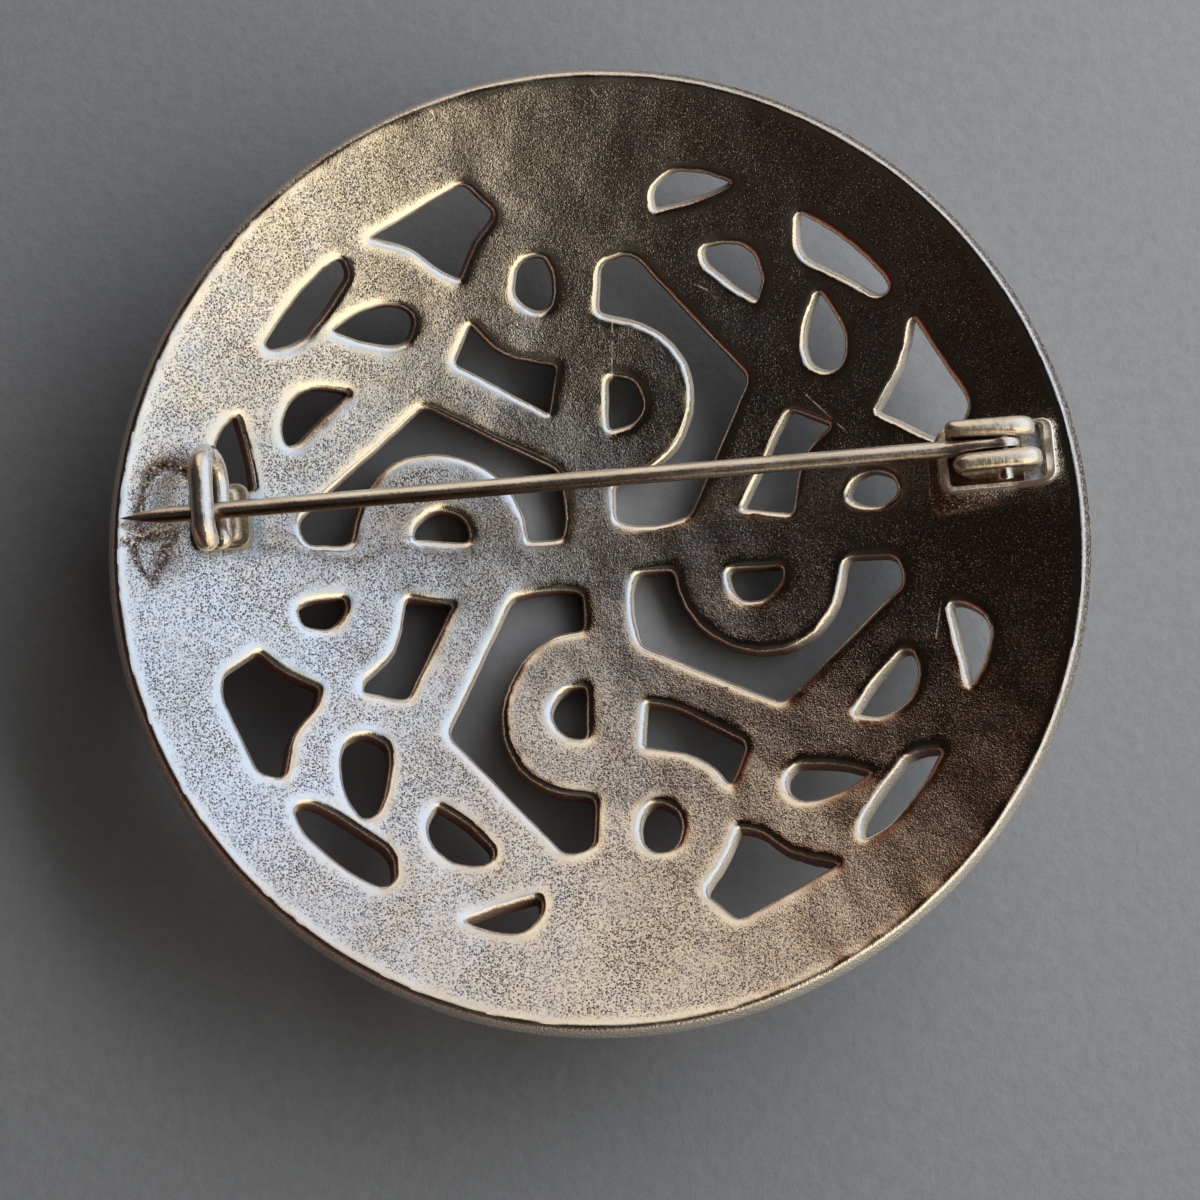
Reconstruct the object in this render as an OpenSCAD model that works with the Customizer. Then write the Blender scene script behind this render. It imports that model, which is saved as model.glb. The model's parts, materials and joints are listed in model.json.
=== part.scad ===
// Round domed shield brooch, lying on its front with the pin side up.
// Origin: middle of the small flat at the top of the dome, which touches the table.
// +Z runs out of the back of the brooch, +X runs along the pin from the catch to the hinge.

/* [Disc] */
// Diameter over the rim's front edge
disc_d = 53.6; // [52:0.2:56]
// Radius of the hollow back surface
hollow_r = 58; // [50:1:70]
// Thickness of the cast plate
wall = 1.3; // [1:0.1:1.8]
// Radius of the small flat that the dome rests on
rest_r = 4.5; // [3:0.5:6]
// Turn of the pierced pattern against the pin, in degrees
pattern_turn = -4.85; // [-10:0.05:10]

/* [Pin] */
// Thickness of the pin wire
wire_d = 0.95; // [0.8:0.05:1.1]
// Distance of the pin from the middle of the disc
pin_y = 3.1; // [2.5:0.1:3.6]
// Height of the pin's axis over the table
pin_z = 8.2; // [8:0.1:8.6]
// Place of the pin's point along X
point_x = -25.6; // [-26:0.1:-24]
// Length of the sharpened point
point_len = 4; // [3:0.5:5]

/* [Hinge] */
// Place of the rivet along X
pivot_x = 22.1; // [21.5:0.1:22.5]
// Thickness of the rivet
rivet_d = 0.7; // [0.5:0.05:0.8]
// Thickness of each cheek
cheek_t = 1.1; // [0.9:0.05:1.3]
// Gap between the cheeks at the rivet
cheek_gap = 0.62; // [0.6:0.01:0.8]

/* [Catch] */
// Place of the hook's upper strand along X
hook_x = -21.05; // [-21.4:0.05:-20.6]
// Thickness of the hook's wire
hook_d = 1.15; // [1:0.05:1.3]
// Lean of the hook towards the rim, in degrees
hook_lean = 17; // [0:1:25]

/* [Hidden] */
$fn = 96;

silver = [0.74, 0.72, 0.68];
bright_silver = [0.80, 0.79, 0.76];

// The dome's two surfaces are spheres about one centre
front_r = hollow_r + wall;
sphere_z = sqrt(front_r * front_r - rest_r * rest_r);
rim_angle = asin(disc_d / 2 / front_r);
wedge_reach = 1.2;

// Height of the hollow surface at a distance from the middle
function hollow_z(r) = sphere_z - sqrt(hollow_r * hollow_r - r * r);

// Each opening is a table of corners with three columns: x, y and ease, in millimetres.
// Ease is how far from the corner its rounding starts, up to half of the side.
// The tables are for one quarter, and each opening is cut four times round the disc.
// Their corners go round counter-clockwise.
big_triangle = [
    [-12.75, 17.45, 0.5], [-10.1, 17.0, 1.6], [-8.6, 15.6, 0.6], [-7.7, 15.4, 0.2],
    [-6.9, 17.5, 1.5], [-5.8, 18.75, 0.5], [-7.55, 20.4, 0.6]
];
long_leaf = [
    [-15.5, 15.35, 2.0], [-17.5, 13.25, 2.0], [-18.65, 11.1, 0.5], [-16.5, 11.35, 0.7],
    [-15.3, 13.7, 2.0], [-13.9, 15.5, 0.6], [-14.25, 16.2, 0.6]
];
teardrop = [
    [-12.9, 11.65, 2.0], [-10.85, 11.65, 1.0], [-10.2, 13.0, 1.0], [-11.0, 14.0, 1.4],
    [-13.3, 13.65, 2.0], [-14.8, 12.3, 0.4]
];
half_leaf = [
    [-14.0, 8.75, 0.2], [-15.3, 9.2, 1.0], [-16.9, 8.85, 1.5], [-17.2, 6.9, 1.3],
    [-16.85, 5.8, 0.3]
];
nostril = [
    [-3.3, 16.65, 0.6], [-4.4, 16.1, 0.9], [-4.45, 14.35, 0.9], [-3.1, 13.75, 0.5],
    [-2.6, 14.4, 0.7], [-2.5, 15.8, 0.9]
];
brow = [
    [-8.1, 10.8, 0.4], [-2.6, 8.2, 0.3], [-2.5, 10.7, 0.3], [-5.7, 11.2, 1.6],
    [-7.15, 12.9, 0.3]
];
arch = [
    [-9.85, 8.35, 0.6], [-16.7, 1.65, 0.7], [-16.3, 0.3, 0.6], [-13.8, 0.35, 0.5],
    [-13.3, 3.1, 1.6], [-11.5, 5.4, 1.6], [-8.6, 5.95, 2.0], [-5.7, 4.7, 1.6],
    [-4.3, 2.5, 1.2], [-4.1, 0.85, 0.4], [-2.0, 1.0, 0.5], [-1.75, 2.5, 1.2],
    [-2.3, 4.9, 0.5]
];
eye = [
    [-7.15, 0.75, 0.5], [-7.5, 2.0, 1.0], [-8.8, 2.55, 1.2], [-10.0, 1.85, 0.8],
    [-10.2, 0.75, 0.4]
];
rim_drop = [
    [5.7, 19.7, 1.3], [7.35, 20.45, 0.4], [5.5, 21.05, 1.3], [3.75, 21.1, 1.1],
    [2.85, 20.05, 0.8], [3.1, 19.15, 0.4]
];
OPENINGS = [
    big_triangle, long_leaf, teardrop, half_leaf, nostril, brow, arch, eye, rim_drop
];
quarters = 4;
ease_steps = 3;
least_side = 0.02;
cutter_z = [-1, 9];

// The seat of the hinge: a flat-topped pad with sloping sides
seat_len = 6.1;
seat_w = 3.8;
seat_slope = 0.9;
seat_x = 22.1;
seat_z = 6.35;
seat_floor = 0.25;
seat_lip = 0.35;
// How deep the feet of seat and catch go into the plate, and the metal left under them
foot_depth = 0.6;
skin = 0.4;

// The cheeks lean out over the seat towards the pin's point
cheek_back = 1.5;
cheek_top_z = pin_z + 1.15;
cheek_front = 3.0;
cheek_lean = 1.0;
cheek_round = [0.05, 0.05, 1.2, 0.7, 0.8];
cheek_nose_h = 1.0;
cheek_root = 0.2;
mouth_gap = wire_d + 0.18;
mouth_x = pivot_x - 2.9;
throat_x = pivot_x - 0.9;
cheek_tip_x = pivot_x - 5;

// Clearances round the rivet
cheek_play = 0.01;
eye_play = 0.04;
tongue_t = cheek_gap - 0.12;
eye_r = 1.0;
rivet_proud = 0.45;

// The neck runs from the round wire to the flat tongue
neck_x = pivot_x - 3.3;
tongue_x = pivot_x - 1.9;
tongue_h = 1.3;
shank_end_x = -18.4;
needle_d = wire_d - 0.03;
point_d = 0.06;
neck_t = 0.05;

// The catch: a C of wire on a small soldered plate
plate_x = [-22.1, -18.9];
plate_y = [1.4, 5.0];
plate_z = 5.9;
foot_x = [-20.1, -19.2];
foot_y = [1.5, 4.6];
foot_z = 6.5;
strand_gap = 0.03;
upper_z = pin_z + wire_d / 2 + strand_gap + hook_d / 2;
// The lower strand sits a little into the solder on the plate
lower_z = plate_z + 0.4;
bend_r = (upper_z - lower_z) / 2 / cos(hook_lean);
bend_y = 4.45;
strand_end_y = 2.35;
lower_end_y = 1.9;
tip_r = 1.1;
tip_turn = 58;

// Corners of a table with each corner rounded by a short curve
function toward(p, q, d) = p + (q - p) * min(d, norm(q - p) / 2) / norm(q - p);
function curve(a, p, b, t) = (1 - t) * (1 - t) * a + 2 * t * (1 - t) * p + t * t * b;
function eased(t) = [
    for (i = [0 : len(t) - 1])
        let (
            here = [t[i][0], t[i][1]],
            last = t[(i + len(t) - 1) % len(t)],
            next = t[(i + 1) % len(t)],
            a = toward(here, [last[0], last[1]], t[i][2]),
            b = toward(here, [next[0], next[1]], t[i][2])
        )
        for (k = [0 : ease_steps]) curve(a, here, b, k / ease_steps)
];
function without_doubles(p) = [
    for (i = [0 : len(p) - 1]) if (norm(p[i] - p[(i + 1) % len(p)]) > least_side) p[i]
];

// Section of the domed plate, with its rim square to the plate
module plate_section() {
    reach = front_r * wedge_reach;
    intersection() {
        difference() {
            translate([0, sphere_z]) circle(front_r, $fn = 360);
            translate([0, sphere_z]) circle(hollow_r, $fn = 360);
        }
        polygon([
            [0, sphere_z],
            [reach * sin(rim_angle), sphere_z - reach * cos(rim_angle)],
            [0, sphere_z - reach]
        ]);
        square([disc_d, sphere_z]);
    }
}

module domed_plate() {
    rotate_extrude($fn = 180) plate_section();
}

// One opening, its walls square to the plate: they aim at the dome's centre
module opening_cutter(table) {
    outline = without_doubles(eased(table));
    n = len(outline);
    ring_at = function(z)
        [for (p = outline)
            let (s = (sphere_z - z) / sqrt(hollow_r * hollow_r - p * p))
            [p[0] * s, p[1] * s, z]];
    sides = [for (i = [0 : n - 1]) [i, n + i, n + (i + 1) % n, (i + 1) % n]];
    polyhedron(
        concat(ring_at(cutter_z[0]), ring_at(cutter_z[1])),
        concat(sides, [[for (i = [0 : n - 1]) i]], [[for (i = [0 : n - 1]) 2 * n - 1 - i]])
    );
}

module openings() {
    for (quarter = [0 : quarters - 1])
        rotate([0, 0, pattern_turn - quarter * 360 / quarters])
            for (table = OPENINGS) opening_cutter(table);
}

// What stands on the plate is let into it, but never comes out of its front
module let_into_plate() {
    intersection() {
        children();
        translate([0, 0, sphere_z]) sphere(front_r - skin, $fn = 180);
    }
}

// Pad with a flat top and sloping sides
module hinge_seat() {
    half_l = seat_len / 2;
    half_w = seat_w / 2;
    foot_z0 = hollow_z(pivot_x - half_l) - foot_depth;
    spread = seat_slope * (seat_z - foot_z0) / 2;
    translate([seat_x, pin_y, 0])
    difference() {
        intersection() {
            translate([0, half_w + spread, 0]) rotate([90, 0, 0])
                linear_extrude(seat_w + 2 * spread)
                    polygon([
                        [-half_l - spread, foot_z0], [half_l, foot_z0],
                        [half_l, seat_z], [-half_l, seat_z]
                    ]);
            translate([-half_l - spread, 0, 0]) rotate([90, 0, 90])
                linear_extrude(seat_len + 2 * spread)
                    polygon([
                        [-half_w - spread, foot_z0], [half_w + spread, foot_z0],
                        [half_w, seat_z], [-half_w, seat_z]
                    ]);
        }
        translate([-half_l + seat_lip, -half_w + seat_lip, seat_z - seat_floor])
            cube([seat_len - 2 * seat_lip, seat_w - 2 * seat_lip, 2 * seat_floor]);
    }
}

// Side view of a cheek, drawn about the rivet
module cheek_outline() {
    foot = seat_z - seat_floor - cheek_root - pin_z;
    top = cheek_top_z - pin_z;
    difference() {
        polygon(without_doubles(eased([
            [-cheek_front + cheek_lean, foot, cheek_round[0]],
            [cheek_back, foot, cheek_round[1]],
            [cheek_back, top, cheek_round[2]],
            [-cheek_front, top, cheek_round[3]],
            [-cheek_front, top - cheek_nose_h, cheek_round[4]]
        ])));
        circle(rivet_d / 2 + cheek_play, $fn = 48);
    }
}

module hinge_cheeks() {
    half_gap = cheek_gap / 2;
    half_mouth = mouth_gap / 2;
    difference() {
        for (side = [-1, 1])
            translate([pivot_x, pin_y + side * (half_gap + cheek_t / 2), pin_z])
                rotate([90, 0, 0])
                    linear_extrude(cheek_t, center = true) cheek_outline();
        translate([0, pin_y, seat_z - seat_floor])
            linear_extrude(pin_z)
                polygon([
                    [cheek_tip_x, -half_mouth], [mouth_x, -half_mouth],
                    [throat_x, -half_gap], [throat_x, half_gap],
                    [mouth_x, half_mouth], [cheek_tip_x, half_mouth]
                ]);
    }
}

// The soldered plate and foot under the hook
module catch_base() {
    plate_foot = hollow_z(norm([plate_x[1], plate_y[0]])) - foot_depth;
    translate([plate_x[0], plate_y[0], plate_foot])
        cube([plate_x[1] - plate_x[0], plate_y[1] - plate_y[0], plate_z - plate_foot]);
    translate([foot_x[0], foot_y[0], plate_foot])
        cube([foot_x[1] - foot_x[0], foot_y[1] - foot_y[0], foot_z - plate_foot]);
}

// The hook lies in one leaning plane: x there is the row's +Y, y there is up the lean
module hook_in_plane() {
    // Bend, open towards the pin
    translate([bend_y, bend_r, 0])
        rotate([0, 0, -90])
            rotate_extrude(angle = 180) translate([bend_r, 0]) circle(hook_d / 2, $fn = 40);
    // Lower strand, with a rounded end
    translate([lower_end_y, 0, 0]) rotate([0, 90, 0])
        cylinder(h = bend_y - lower_end_y, d = hook_d, $fn = 40);
    translate([lower_end_y, 0, 0]) sphere(d = hook_d, $fn = 40);
    // Upper strand
    translate([strand_end_y, 2 * bend_r, 0]) rotate([0, 90, 0])
        cylinder(h = bend_y - strand_end_y, d = hook_d, $fn = 40);
    // Tip, curled down
    translate([strand_end_y, 2 * bend_r - tip_r, 0]) {
        rotate([0, 0, 90])
            rotate_extrude(angle = tip_turn) translate([tip_r, 0]) circle(hook_d / 2, $fn = 40);
        rotate([0, 0, 90 + tip_turn]) translate([tip_r, 0, 0]) sphere(d = hook_d, $fn = 40);
    }
}

module catch_hook() {
    lower_x = hook_x + 2 * bend_r * sin(hook_lean);
    translate([lower_x, 0, lower_z])
        rotate([0, -hook_lean, 0])
            rotate([90, 0, 90]) hook_in_plane();
}

module shield() {
    color(silver)
    union() {
        difference() {
            domed_plate();
            openings();
        }
        let_into_plate() hinge_seat();
        hinge_cheeks();
        let_into_plate() catch_base();
        catch_hook();
    }
}

module hinge_rivet() {
    length = cheek_gap + 2 * cheek_t + 2 * rivet_proud;
    color(bright_silver)
    translate([pivot_x, pin_y + length / 2, pin_z])
        rotate([90, 0, 0]) cylinder(h = length, d = rivet_d, $fn = 48);
}

// Round wire, drawn from its thick end towards the point
module shank() {
    translate([neck_x, pin_y, pin_z]) rotate([0, -90, 0])
        cylinder(h = neck_x - shank_end_x, d = wire_d);
    translate([shank_end_x, pin_y, pin_z]) rotate([0, -90, 0])
        cylinder(h = shank_end_x - point_x - point_len, d1 = wire_d, d2 = needle_d);
    translate([point_x + point_len, pin_y, pin_z]) rotate([0, -90, 0])
        cylinder(h = point_len, d1 = needle_d, d2 = point_d);
}

// Flattened tongue with the eye that turns on the rivet
module tongue() {
    translate([pivot_x, pin_y, pin_z]) rotate([90, 0, 0])
        cylinder(h = tongue_t, r = eye_r, center = true);
    translate([tongue_x, pin_y - tongue_t / 2, pin_z - tongue_h / 2])
        cube([pivot_x - tongue_x, tongue_t, tongue_h]);
    hull() {
        translate([neck_x, pin_y, pin_z]) rotate([0, 90, 0])
            cylinder(h = neck_t, d = wire_d, $fn = 32);
        translate([tongue_x, pin_y - tongue_t / 2, pin_z - tongue_h / 2])
            cube([neck_t, tongue_t, tongue_h]);
    }
}

module pin_stem() {
    color(bright_silver)
    difference() {
        union() {
            shank();
            tongue();
        }
        translate([pivot_x, pin_y, pin_z]) rotate([90, 0, 0])
            cylinder(h = 2 * tongue_t, d = rivet_d + 2 * eye_play, center = true, $fn = 48);
    }
}

shield();
hinge_rivet();
pin_stem();
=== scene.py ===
"""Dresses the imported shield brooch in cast, worn and drawn silver.

Laid out as an add-on: property groups hold the sizes and colours, one operator makes each
piece, and a panel in the 3D view's sidebar lists them. Pieces are modelled in millimetres
and brought to metres when they are done.
"""

import json
import math

import bpy
from mathutils import Matrix, Vector, kdtree, noise


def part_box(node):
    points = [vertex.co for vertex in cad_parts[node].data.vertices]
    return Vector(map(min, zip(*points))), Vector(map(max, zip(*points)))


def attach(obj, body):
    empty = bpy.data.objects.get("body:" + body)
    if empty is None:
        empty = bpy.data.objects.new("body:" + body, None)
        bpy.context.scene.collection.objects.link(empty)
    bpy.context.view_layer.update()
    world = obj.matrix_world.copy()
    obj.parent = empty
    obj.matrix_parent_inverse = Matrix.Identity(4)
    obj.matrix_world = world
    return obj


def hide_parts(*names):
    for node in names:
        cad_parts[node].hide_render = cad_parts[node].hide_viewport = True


bl_info = {
    "name": "Shield Brooch",
    "version": (1, 0, 0),
    "blender": (4, 5, 0),
    "location": "3D View > Sidebar > Brooch",
    "description": "Makes the pierced plate, hinge, catch, pin and stage of a shield brooch",
    "category": "Add Mesh",
}

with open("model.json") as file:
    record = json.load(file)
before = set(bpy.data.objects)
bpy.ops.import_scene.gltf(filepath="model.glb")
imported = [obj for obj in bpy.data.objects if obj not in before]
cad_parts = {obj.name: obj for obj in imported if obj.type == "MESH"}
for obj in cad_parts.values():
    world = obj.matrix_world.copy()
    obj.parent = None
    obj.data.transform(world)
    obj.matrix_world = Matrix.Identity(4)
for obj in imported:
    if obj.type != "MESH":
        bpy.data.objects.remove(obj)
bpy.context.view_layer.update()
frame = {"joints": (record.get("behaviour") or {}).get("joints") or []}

MM = 0.001
HINGE = frame["joints"][0]
PIVOT = Vector(HINGE["pos_m"]) / MM
SHIELD_LOW, SHIELD_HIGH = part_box("shield")
PIN_LOW, PIN_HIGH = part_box("pin_stem")
RIVET_LOW, RIVET_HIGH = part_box("hinge_rivet")

# The plate's openings: the same nine shapes in each quarter, cut by hand, so that each one
# differs a little. Each corner has three columns: x, y and ease, in millimetres, in its own
# quarter. Ease is how far from the corner its rounding starts. The quarters go clockwise.
OPENINGS = {
    "big_triangle": (
        [(-12.85, 17.25, 0.35), (-10.4, 16.85, 1.4), (-8.9, 15.6, 0.6), (-7.8, 15.25, 0.25),
         (-6.95, 17.4, 1.4), (-5.75, 18.8, 0.5), (-7.6, 20.45, 0.5)],
        [(-12.85, 17.25, 0.4), (-10.3, 16.75, 1.2), (-8.9, 15.95, 0.8), (-7.75, 15.3, 0.25),
         (-6.7, 17.3, 1.2), (-5.9, 18.7, 0.4), (-7.1, 20.1, 0.4), (-8.0, 20.3, 0.7)],
        [(-12.9, 17.3, 0.35), (-10.3, 16.75, 1.5), (-8.7, 15.45, 0.6), (-7.6, 15.3, 0.2),
         (-6.8, 17.2, 1.3), (-5.65, 18.75, 0.5), (-7.45, 20.4, 0.6)],
        [(-12.75, 16.95, 0.5), (-10.4, 16.8, 1.3), (-8.7, 15.45, 0.6), (-7.7, 15.3, 0.3),
         (-6.8, 17.4, 1.3), (-5.75, 18.6, 0.4), (-7.1, 20.35, 0.4), (-8.3, 20.4, 0.8),
         (-12.5, 18.35, 0.6)],
    ),
    "long_leaf": (
        [(-15.6, 15.3, 1.5), (-17.2, 13.35, 1.5), (-18.55, 11.15, 0.3), (-18.1, 10.85, 0.3),
         (-16.5, 11.4, 0.7), (-15.1, 13.2, 1.8), (-13.85, 15.3, 0.5), (-14.3, 16.15, 0.4)],
        [(-15.6, 15.3, 2.0), (-17.4, 13.3, 2.0), (-18.75, 11.0, 0.4), (-16.4, 10.95, 0.9),
         (-15.2, 13.4, 2.0), (-13.95, 15.4, 0.5), (-14.4, 16.1, 0.5)],
        [(-15.6, 15.35, 1.5), (-17.3, 13.3, 1.8), (-18.55, 11.15, 0.4), (-16.9, 11.25, 0.7),
         (-15.4, 13.0, 1.5), (-14.0, 15.2, 0.6), (-14.2, 16.05, 0.4)],
        [(-15.4, 16.15, 1.0), (-17.5, 13.9, 1.8), (-18.7, 11.6, 0.6), (-18.3, 10.95, 0.4),
         (-16.8, 11.1, 0.6), (-15.45, 12.95, 1.5), (-14.05, 15.4, 0.6), (-14.2, 16.4, 0.4)],
    ),
    "teardrop": (
        [(-12.9, 11.55, 1.8), (-10.9, 11.5, 0.8), (-10.2, 12.8, 0.8), (-10.8, 13.8, 0.9),
         (-13.0, 13.65, 1.6), (-14.95, 12.2, 0.35)],
        [(-12.6, 11.35, 1.8), (-10.6, 11.4, 0.9), (-9.95, 12.8, 0.8), (-10.6, 13.65, 0.8),
         (-12.4, 13.65, 1.5), (-14.5, 12.15, 0.3)],
        [(-12.9, 11.8, 1.6), (-10.6, 11.75, 0.7), (-10.0, 13.0, 0.8), (-10.8, 13.95, 0.8),
         (-12.9, 13.55, 1.5), (-14.75, 12.35, 0.3)],
        [(-12.9, 11.5, 1.5), (-10.8, 11.45, 0.6), (-10.1, 12.7, 0.8), (-10.7, 14.1, 0.8),
         (-13.3, 13.95, 1.6), (-14.95, 12.85, 0.6), (-14.7, 12.0, 0.5)],
    ),
    "half_leaf": (
        [(-13.95, 8.85, 0.25), (-15.6, 9.1, 1.0), (-17.0, 8.6, 1.2), (-17.7, 6.8, 0.9),
         (-17.35, 5.7, 0.4), (-16.7, 5.8, 0.4), (-15.3, 7.4, 1.0)],
        [(-14.1, 8.8, 0.25), (-15.4, 9.15, 1.0), (-17.1, 8.4, 1.3), (-17.35, 6.9, 1.0),
         (-17.1, 5.7, 0.4), (-16.3, 5.75, 0.4), (-14.9, 7.4, 1.0)],
        [(-13.95, 9.0, 0.3), (-15.2, 9.4, 1.0), (-16.8, 8.6, 1.2), (-17.5, 7.0, 1.0),
         (-17.1, 5.7, 0.35), (-16.6, 5.6, 0.3), (-15.0, 7.3, 1.0)],
        [(-14.1, 8.8, 0.3), (-15.1, 9.45, 0.8), (-16.8, 8.8, 1.2), (-17.5, 7.0, 0.9),
         (-17.15, 5.8, 0.4), (-16.5, 5.75, 0.3), (-15.0, 7.2, 1.0)],
    ),
    "nostril": (
        [(-3.2, 16.75, 0.5), (-4.6, 16.4, 0.9), (-5.0, 14.4, 0.9), (-3.6, 13.55, 0.6),
         (-2.7, 13.85, 0.5), (-2.5, 15.6, 0.9)],
        [(-3.3, 16.6, 0.6), (-4.4, 16.1, 0.9), (-4.45, 14.3, 0.9), (-3.1, 13.65, 0.5),
         (-2.55, 14.4, 0.7), (-2.5, 15.8, 0.9)],
        [(-3.5, 16.7, 0.5), (-4.45, 16.1, 0.8), (-4.5, 14.4, 0.8), (-3.3, 13.75, 0.5),
         (-2.5, 14.1, 0.5), (-2.15, 15.5, 0.8), (-2.6, 16.4, 0.6)],
        [(-3.2, 16.7, 0.5), (-4.3, 16.3, 0.7), (-4.45, 14.7, 0.8), (-3.3, 13.95, 0.5),
         (-2.6, 14.1, 0.3), (-2.75, 15.8, 0.7)],
    ),
    "brow": (
        [(-8.2, 10.7, 0.4), (-2.85, 8.0, 0.3), (-2.45, 10.75, 0.3), (-5.6, 11.2, 1.6),
         (-7.25, 12.95, 0.3)],
        [(-8.15, 10.55, 0.5), (-2.6, 7.95, 0.35), (-2.3, 10.75, 0.3), (-5.6, 11.2, 1.6),
         (-7.15, 12.9, 0.3)],
        [(-8.1, 10.55, 0.5), (-4.2, 8.5, 0.8), (-2.6, 8.2, 0.3), (-2.4, 10.75, 0.3),
         (-5.6, 11.15, 1.6), (-7.2, 12.95, 0.35)],
        [(-8.25, 10.6, 0.4), (-2.75, 8.15, 0.3), (-2.5, 10.75, 0.3), (-5.6, 11.15, 1.6),
         (-7.1, 12.9, 0.3), (-7.8, 13.0, 0.3)],
    ),
    "arch": (
        [(-9.85, 8.35, 0.6), (-16.7, 1.65, 0.7), (-16.3, 0.3, 0.6), (-13.8, 0.35, 0.5),
         (-13.3, 3.1, 1.6), (-11.5, 5.3, 1.6), (-8.6, 5.85, 2.0), (-5.7, 4.65, 1.6),
         (-4.3, 2.5, 1.2), (-4.1, 0.85, 0.4), (-2.0, 1.0, 0.5), (-1.85, 2.5, 1.2),
         (-2.3, 4.9, 0.5)],
        [(-10.0, 8.35, 0.6), (-16.85, 1.8, 0.7), (-16.4, 0.0, 0.7), (-13.55, -0.2, 0.5),
         (-13.1, 2.4, 1.6), (-11.5, 4.6, 1.6), (-8.8, 5.35, 2.0), (-6.1, 4.4, 1.6),
         (-4.75, 2.6, 1.2), (-4.15, 0.75, 0.4), (-2.0, 0.8, 0.5), (-1.65, 2.5, 1.2),
         (-2.2, 5.0, 0.5)],
        [(-10.1, 8.4, 0.6), (-16.85, 1.7, 0.7), (-16.3, 0.25, 0.6), (-13.6, 0.3, 0.5),
         (-13.2, 2.9, 1.6), (-11.6, 5.0, 1.6), (-8.8, 5.65, 2.0), (-5.9, 4.5, 1.6),
         (-4.5, 2.5, 1.2), (-4.15, 0.75, 0.4), (-2.0, 0.9, 0.5), (-1.65, 2.5, 1.2),
         (-2.2, 4.95, 0.5)],
        [(-10.1, 8.35, 0.6), (-16.85, 1.75, 0.7), (-16.3, 0.3, 0.6), (-13.6, 0.2, 0.5),
         (-13.3, 2.9, 1.6), (-11.6, 4.95, 1.6), (-8.8, 5.6, 2.0), (-5.8, 4.4, 1.6),
         (-4.4, 2.5, 1.2), (-4.15, 0.85, 0.4), (-2.0, 0.95, 0.5), (-1.8, 2.5, 1.2),
         (-2.35, 4.9, 0.5)],
    ),
    "eye": (
        [(-7.2, 0.75, 0.5), (-7.45, 2.1, 1.0), (-8.8, 2.65, 1.2), (-10.2, 1.9, 0.8),
         (-10.45, 0.8, 0.4)],
        [(-7.1, 0.35, 0.6), (-7.4, 2.0, 1.0), (-8.7, 2.6, 1.2), (-10.05, 1.9, 0.8),
         (-10.25, 0.4, 0.6)],
        [(-7.1, 0.7, 0.5), (-7.3, 2.2, 1.0), (-8.7, 2.75, 1.2), (-10.0, 1.85, 0.8),
         (-10.2, 0.65, 0.4)],
        [(-7.3, 0.7, 0.4), (-7.5, 2.1, 1.0), (-8.9, 2.85, 1.2), (-10.2, 2.0, 0.8),
         (-10.3, 0.7, 0.4)],
    ),
    "rim_drop": (
        [(5.7, 19.65, 1.3), (7.4, 20.4, 0.35), (5.5, 21.1, 1.3), (3.75, 21.15, 1.1),
         (2.8, 20.0, 0.8), (3.0, 19.05, 0.35)],
        [(5.6, 19.6, 1.3), (7.8, 20.1, 0.35), (5.8, 21.15, 1.3), (4.1, 21.25, 0.9),
         (3.1, 20.0, 0.8), (3.05, 19.1, 0.35)],
        [(5.6, 19.75, 1.3), (7.3, 20.4, 0.35), (5.6, 21.0, 1.3), (3.9, 21.1, 1.0),
         (3.1, 20.0, 0.8), (3.15, 19.05, 0.35)],
        [(5.4, 19.4, 1.2), (7.3, 20.0, 0.4), (6.2, 21.0, 0.9), (4.0, 21.2, 0.9),
         (2.9, 20.2, 0.7), (3.1, 19.0, 0.35)],
    ),
}

# Fine bright scratches on the dark side: both ends of each in millimetres, and half their
# width in metres
SCRATCHES = (
    ((1.8, 13.1), (1.5, 9.9)),
    ((1.6, 25.4), (2.1, 24.7)),
    ((12.2, 7.9), (14.2, 5.6)),
    ((8.3, -7.0), (10.4, -8.6)),
    ((18.4, -4.6), (17.9, -6.6)),
    ((5.9, 15.0), (7.3, 14.2)),
)
SCRATCH_WIDTH = 0.00004

# Burnt solder scars beside the catch, and a faint seam across the plate: corners of each
# line, half its width, and its strength
SCARS = (
    (((-22.3, 5.8), (-22.9, 6.25), (-23.6, 6.15), (-24.2, 5.5)), 0.42, 1.0),
    (((-24.1, 5.6), (-24.6, 4.6), (-24.8, 3.6), (-24.75, 2.6)), 0.26, 1.0),
    (((-26.1, 2.0), (-25.3, 2.1), (-24.2, 2.35), (-23.2, 2.4)), 0.34, 1.0),
    (((-25.15, 1.9), (-25.1, 1.0), (-24.75, 0.3), (-24.3, -0.35)), 0.24, 1.0),
    (((-23.5, 1.8), (-23.75, 1.0), (-24.0, 0.4), (-24.3, -0.3)), 0.38, 1.0),
    (((-18.5, 1.7), (-16.4, 1.35), (-14.9, 0.9), (-13.7, 0.6), (-12.7, 0.95), (-11.6, 1.4),
      (-10.8, 1.4), (-10.0, 1.0), (-8.9, 0.6), (-7.3, 0.75)), 0.3, 0.5),
)
# Outside these corners there are no scars. Inside the next ones the faces are finer, and the
# last ones hold the solder under the catch.
SCAR_CORNERS = (-26.5, -1.0), (-7.0, 7.0)
CATCH_CORNERS = (-26.2, -1.0), (-18.0, 6.8)
SOLDER_CORNERS = Vector((-22.0, 1.5)), Vector((-19.0, 4.9))
# What each point of the plate's back carries for its material: the worn border of an opening,
# its sandy walls, scorched solder and the rim darker on its side towards the window, painted
# red-brown shade on walls turned from the window, coarse sand, and the catch's halo
COATS = ("worn", "walls", "scar", "dim", "coarse", "halo")
UPRIGHT = Matrix.Rotation(math.pi / 2, 4, "X")
# How far the soldered blocks first reach under the hollow surface
ROOT = 0.6
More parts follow.
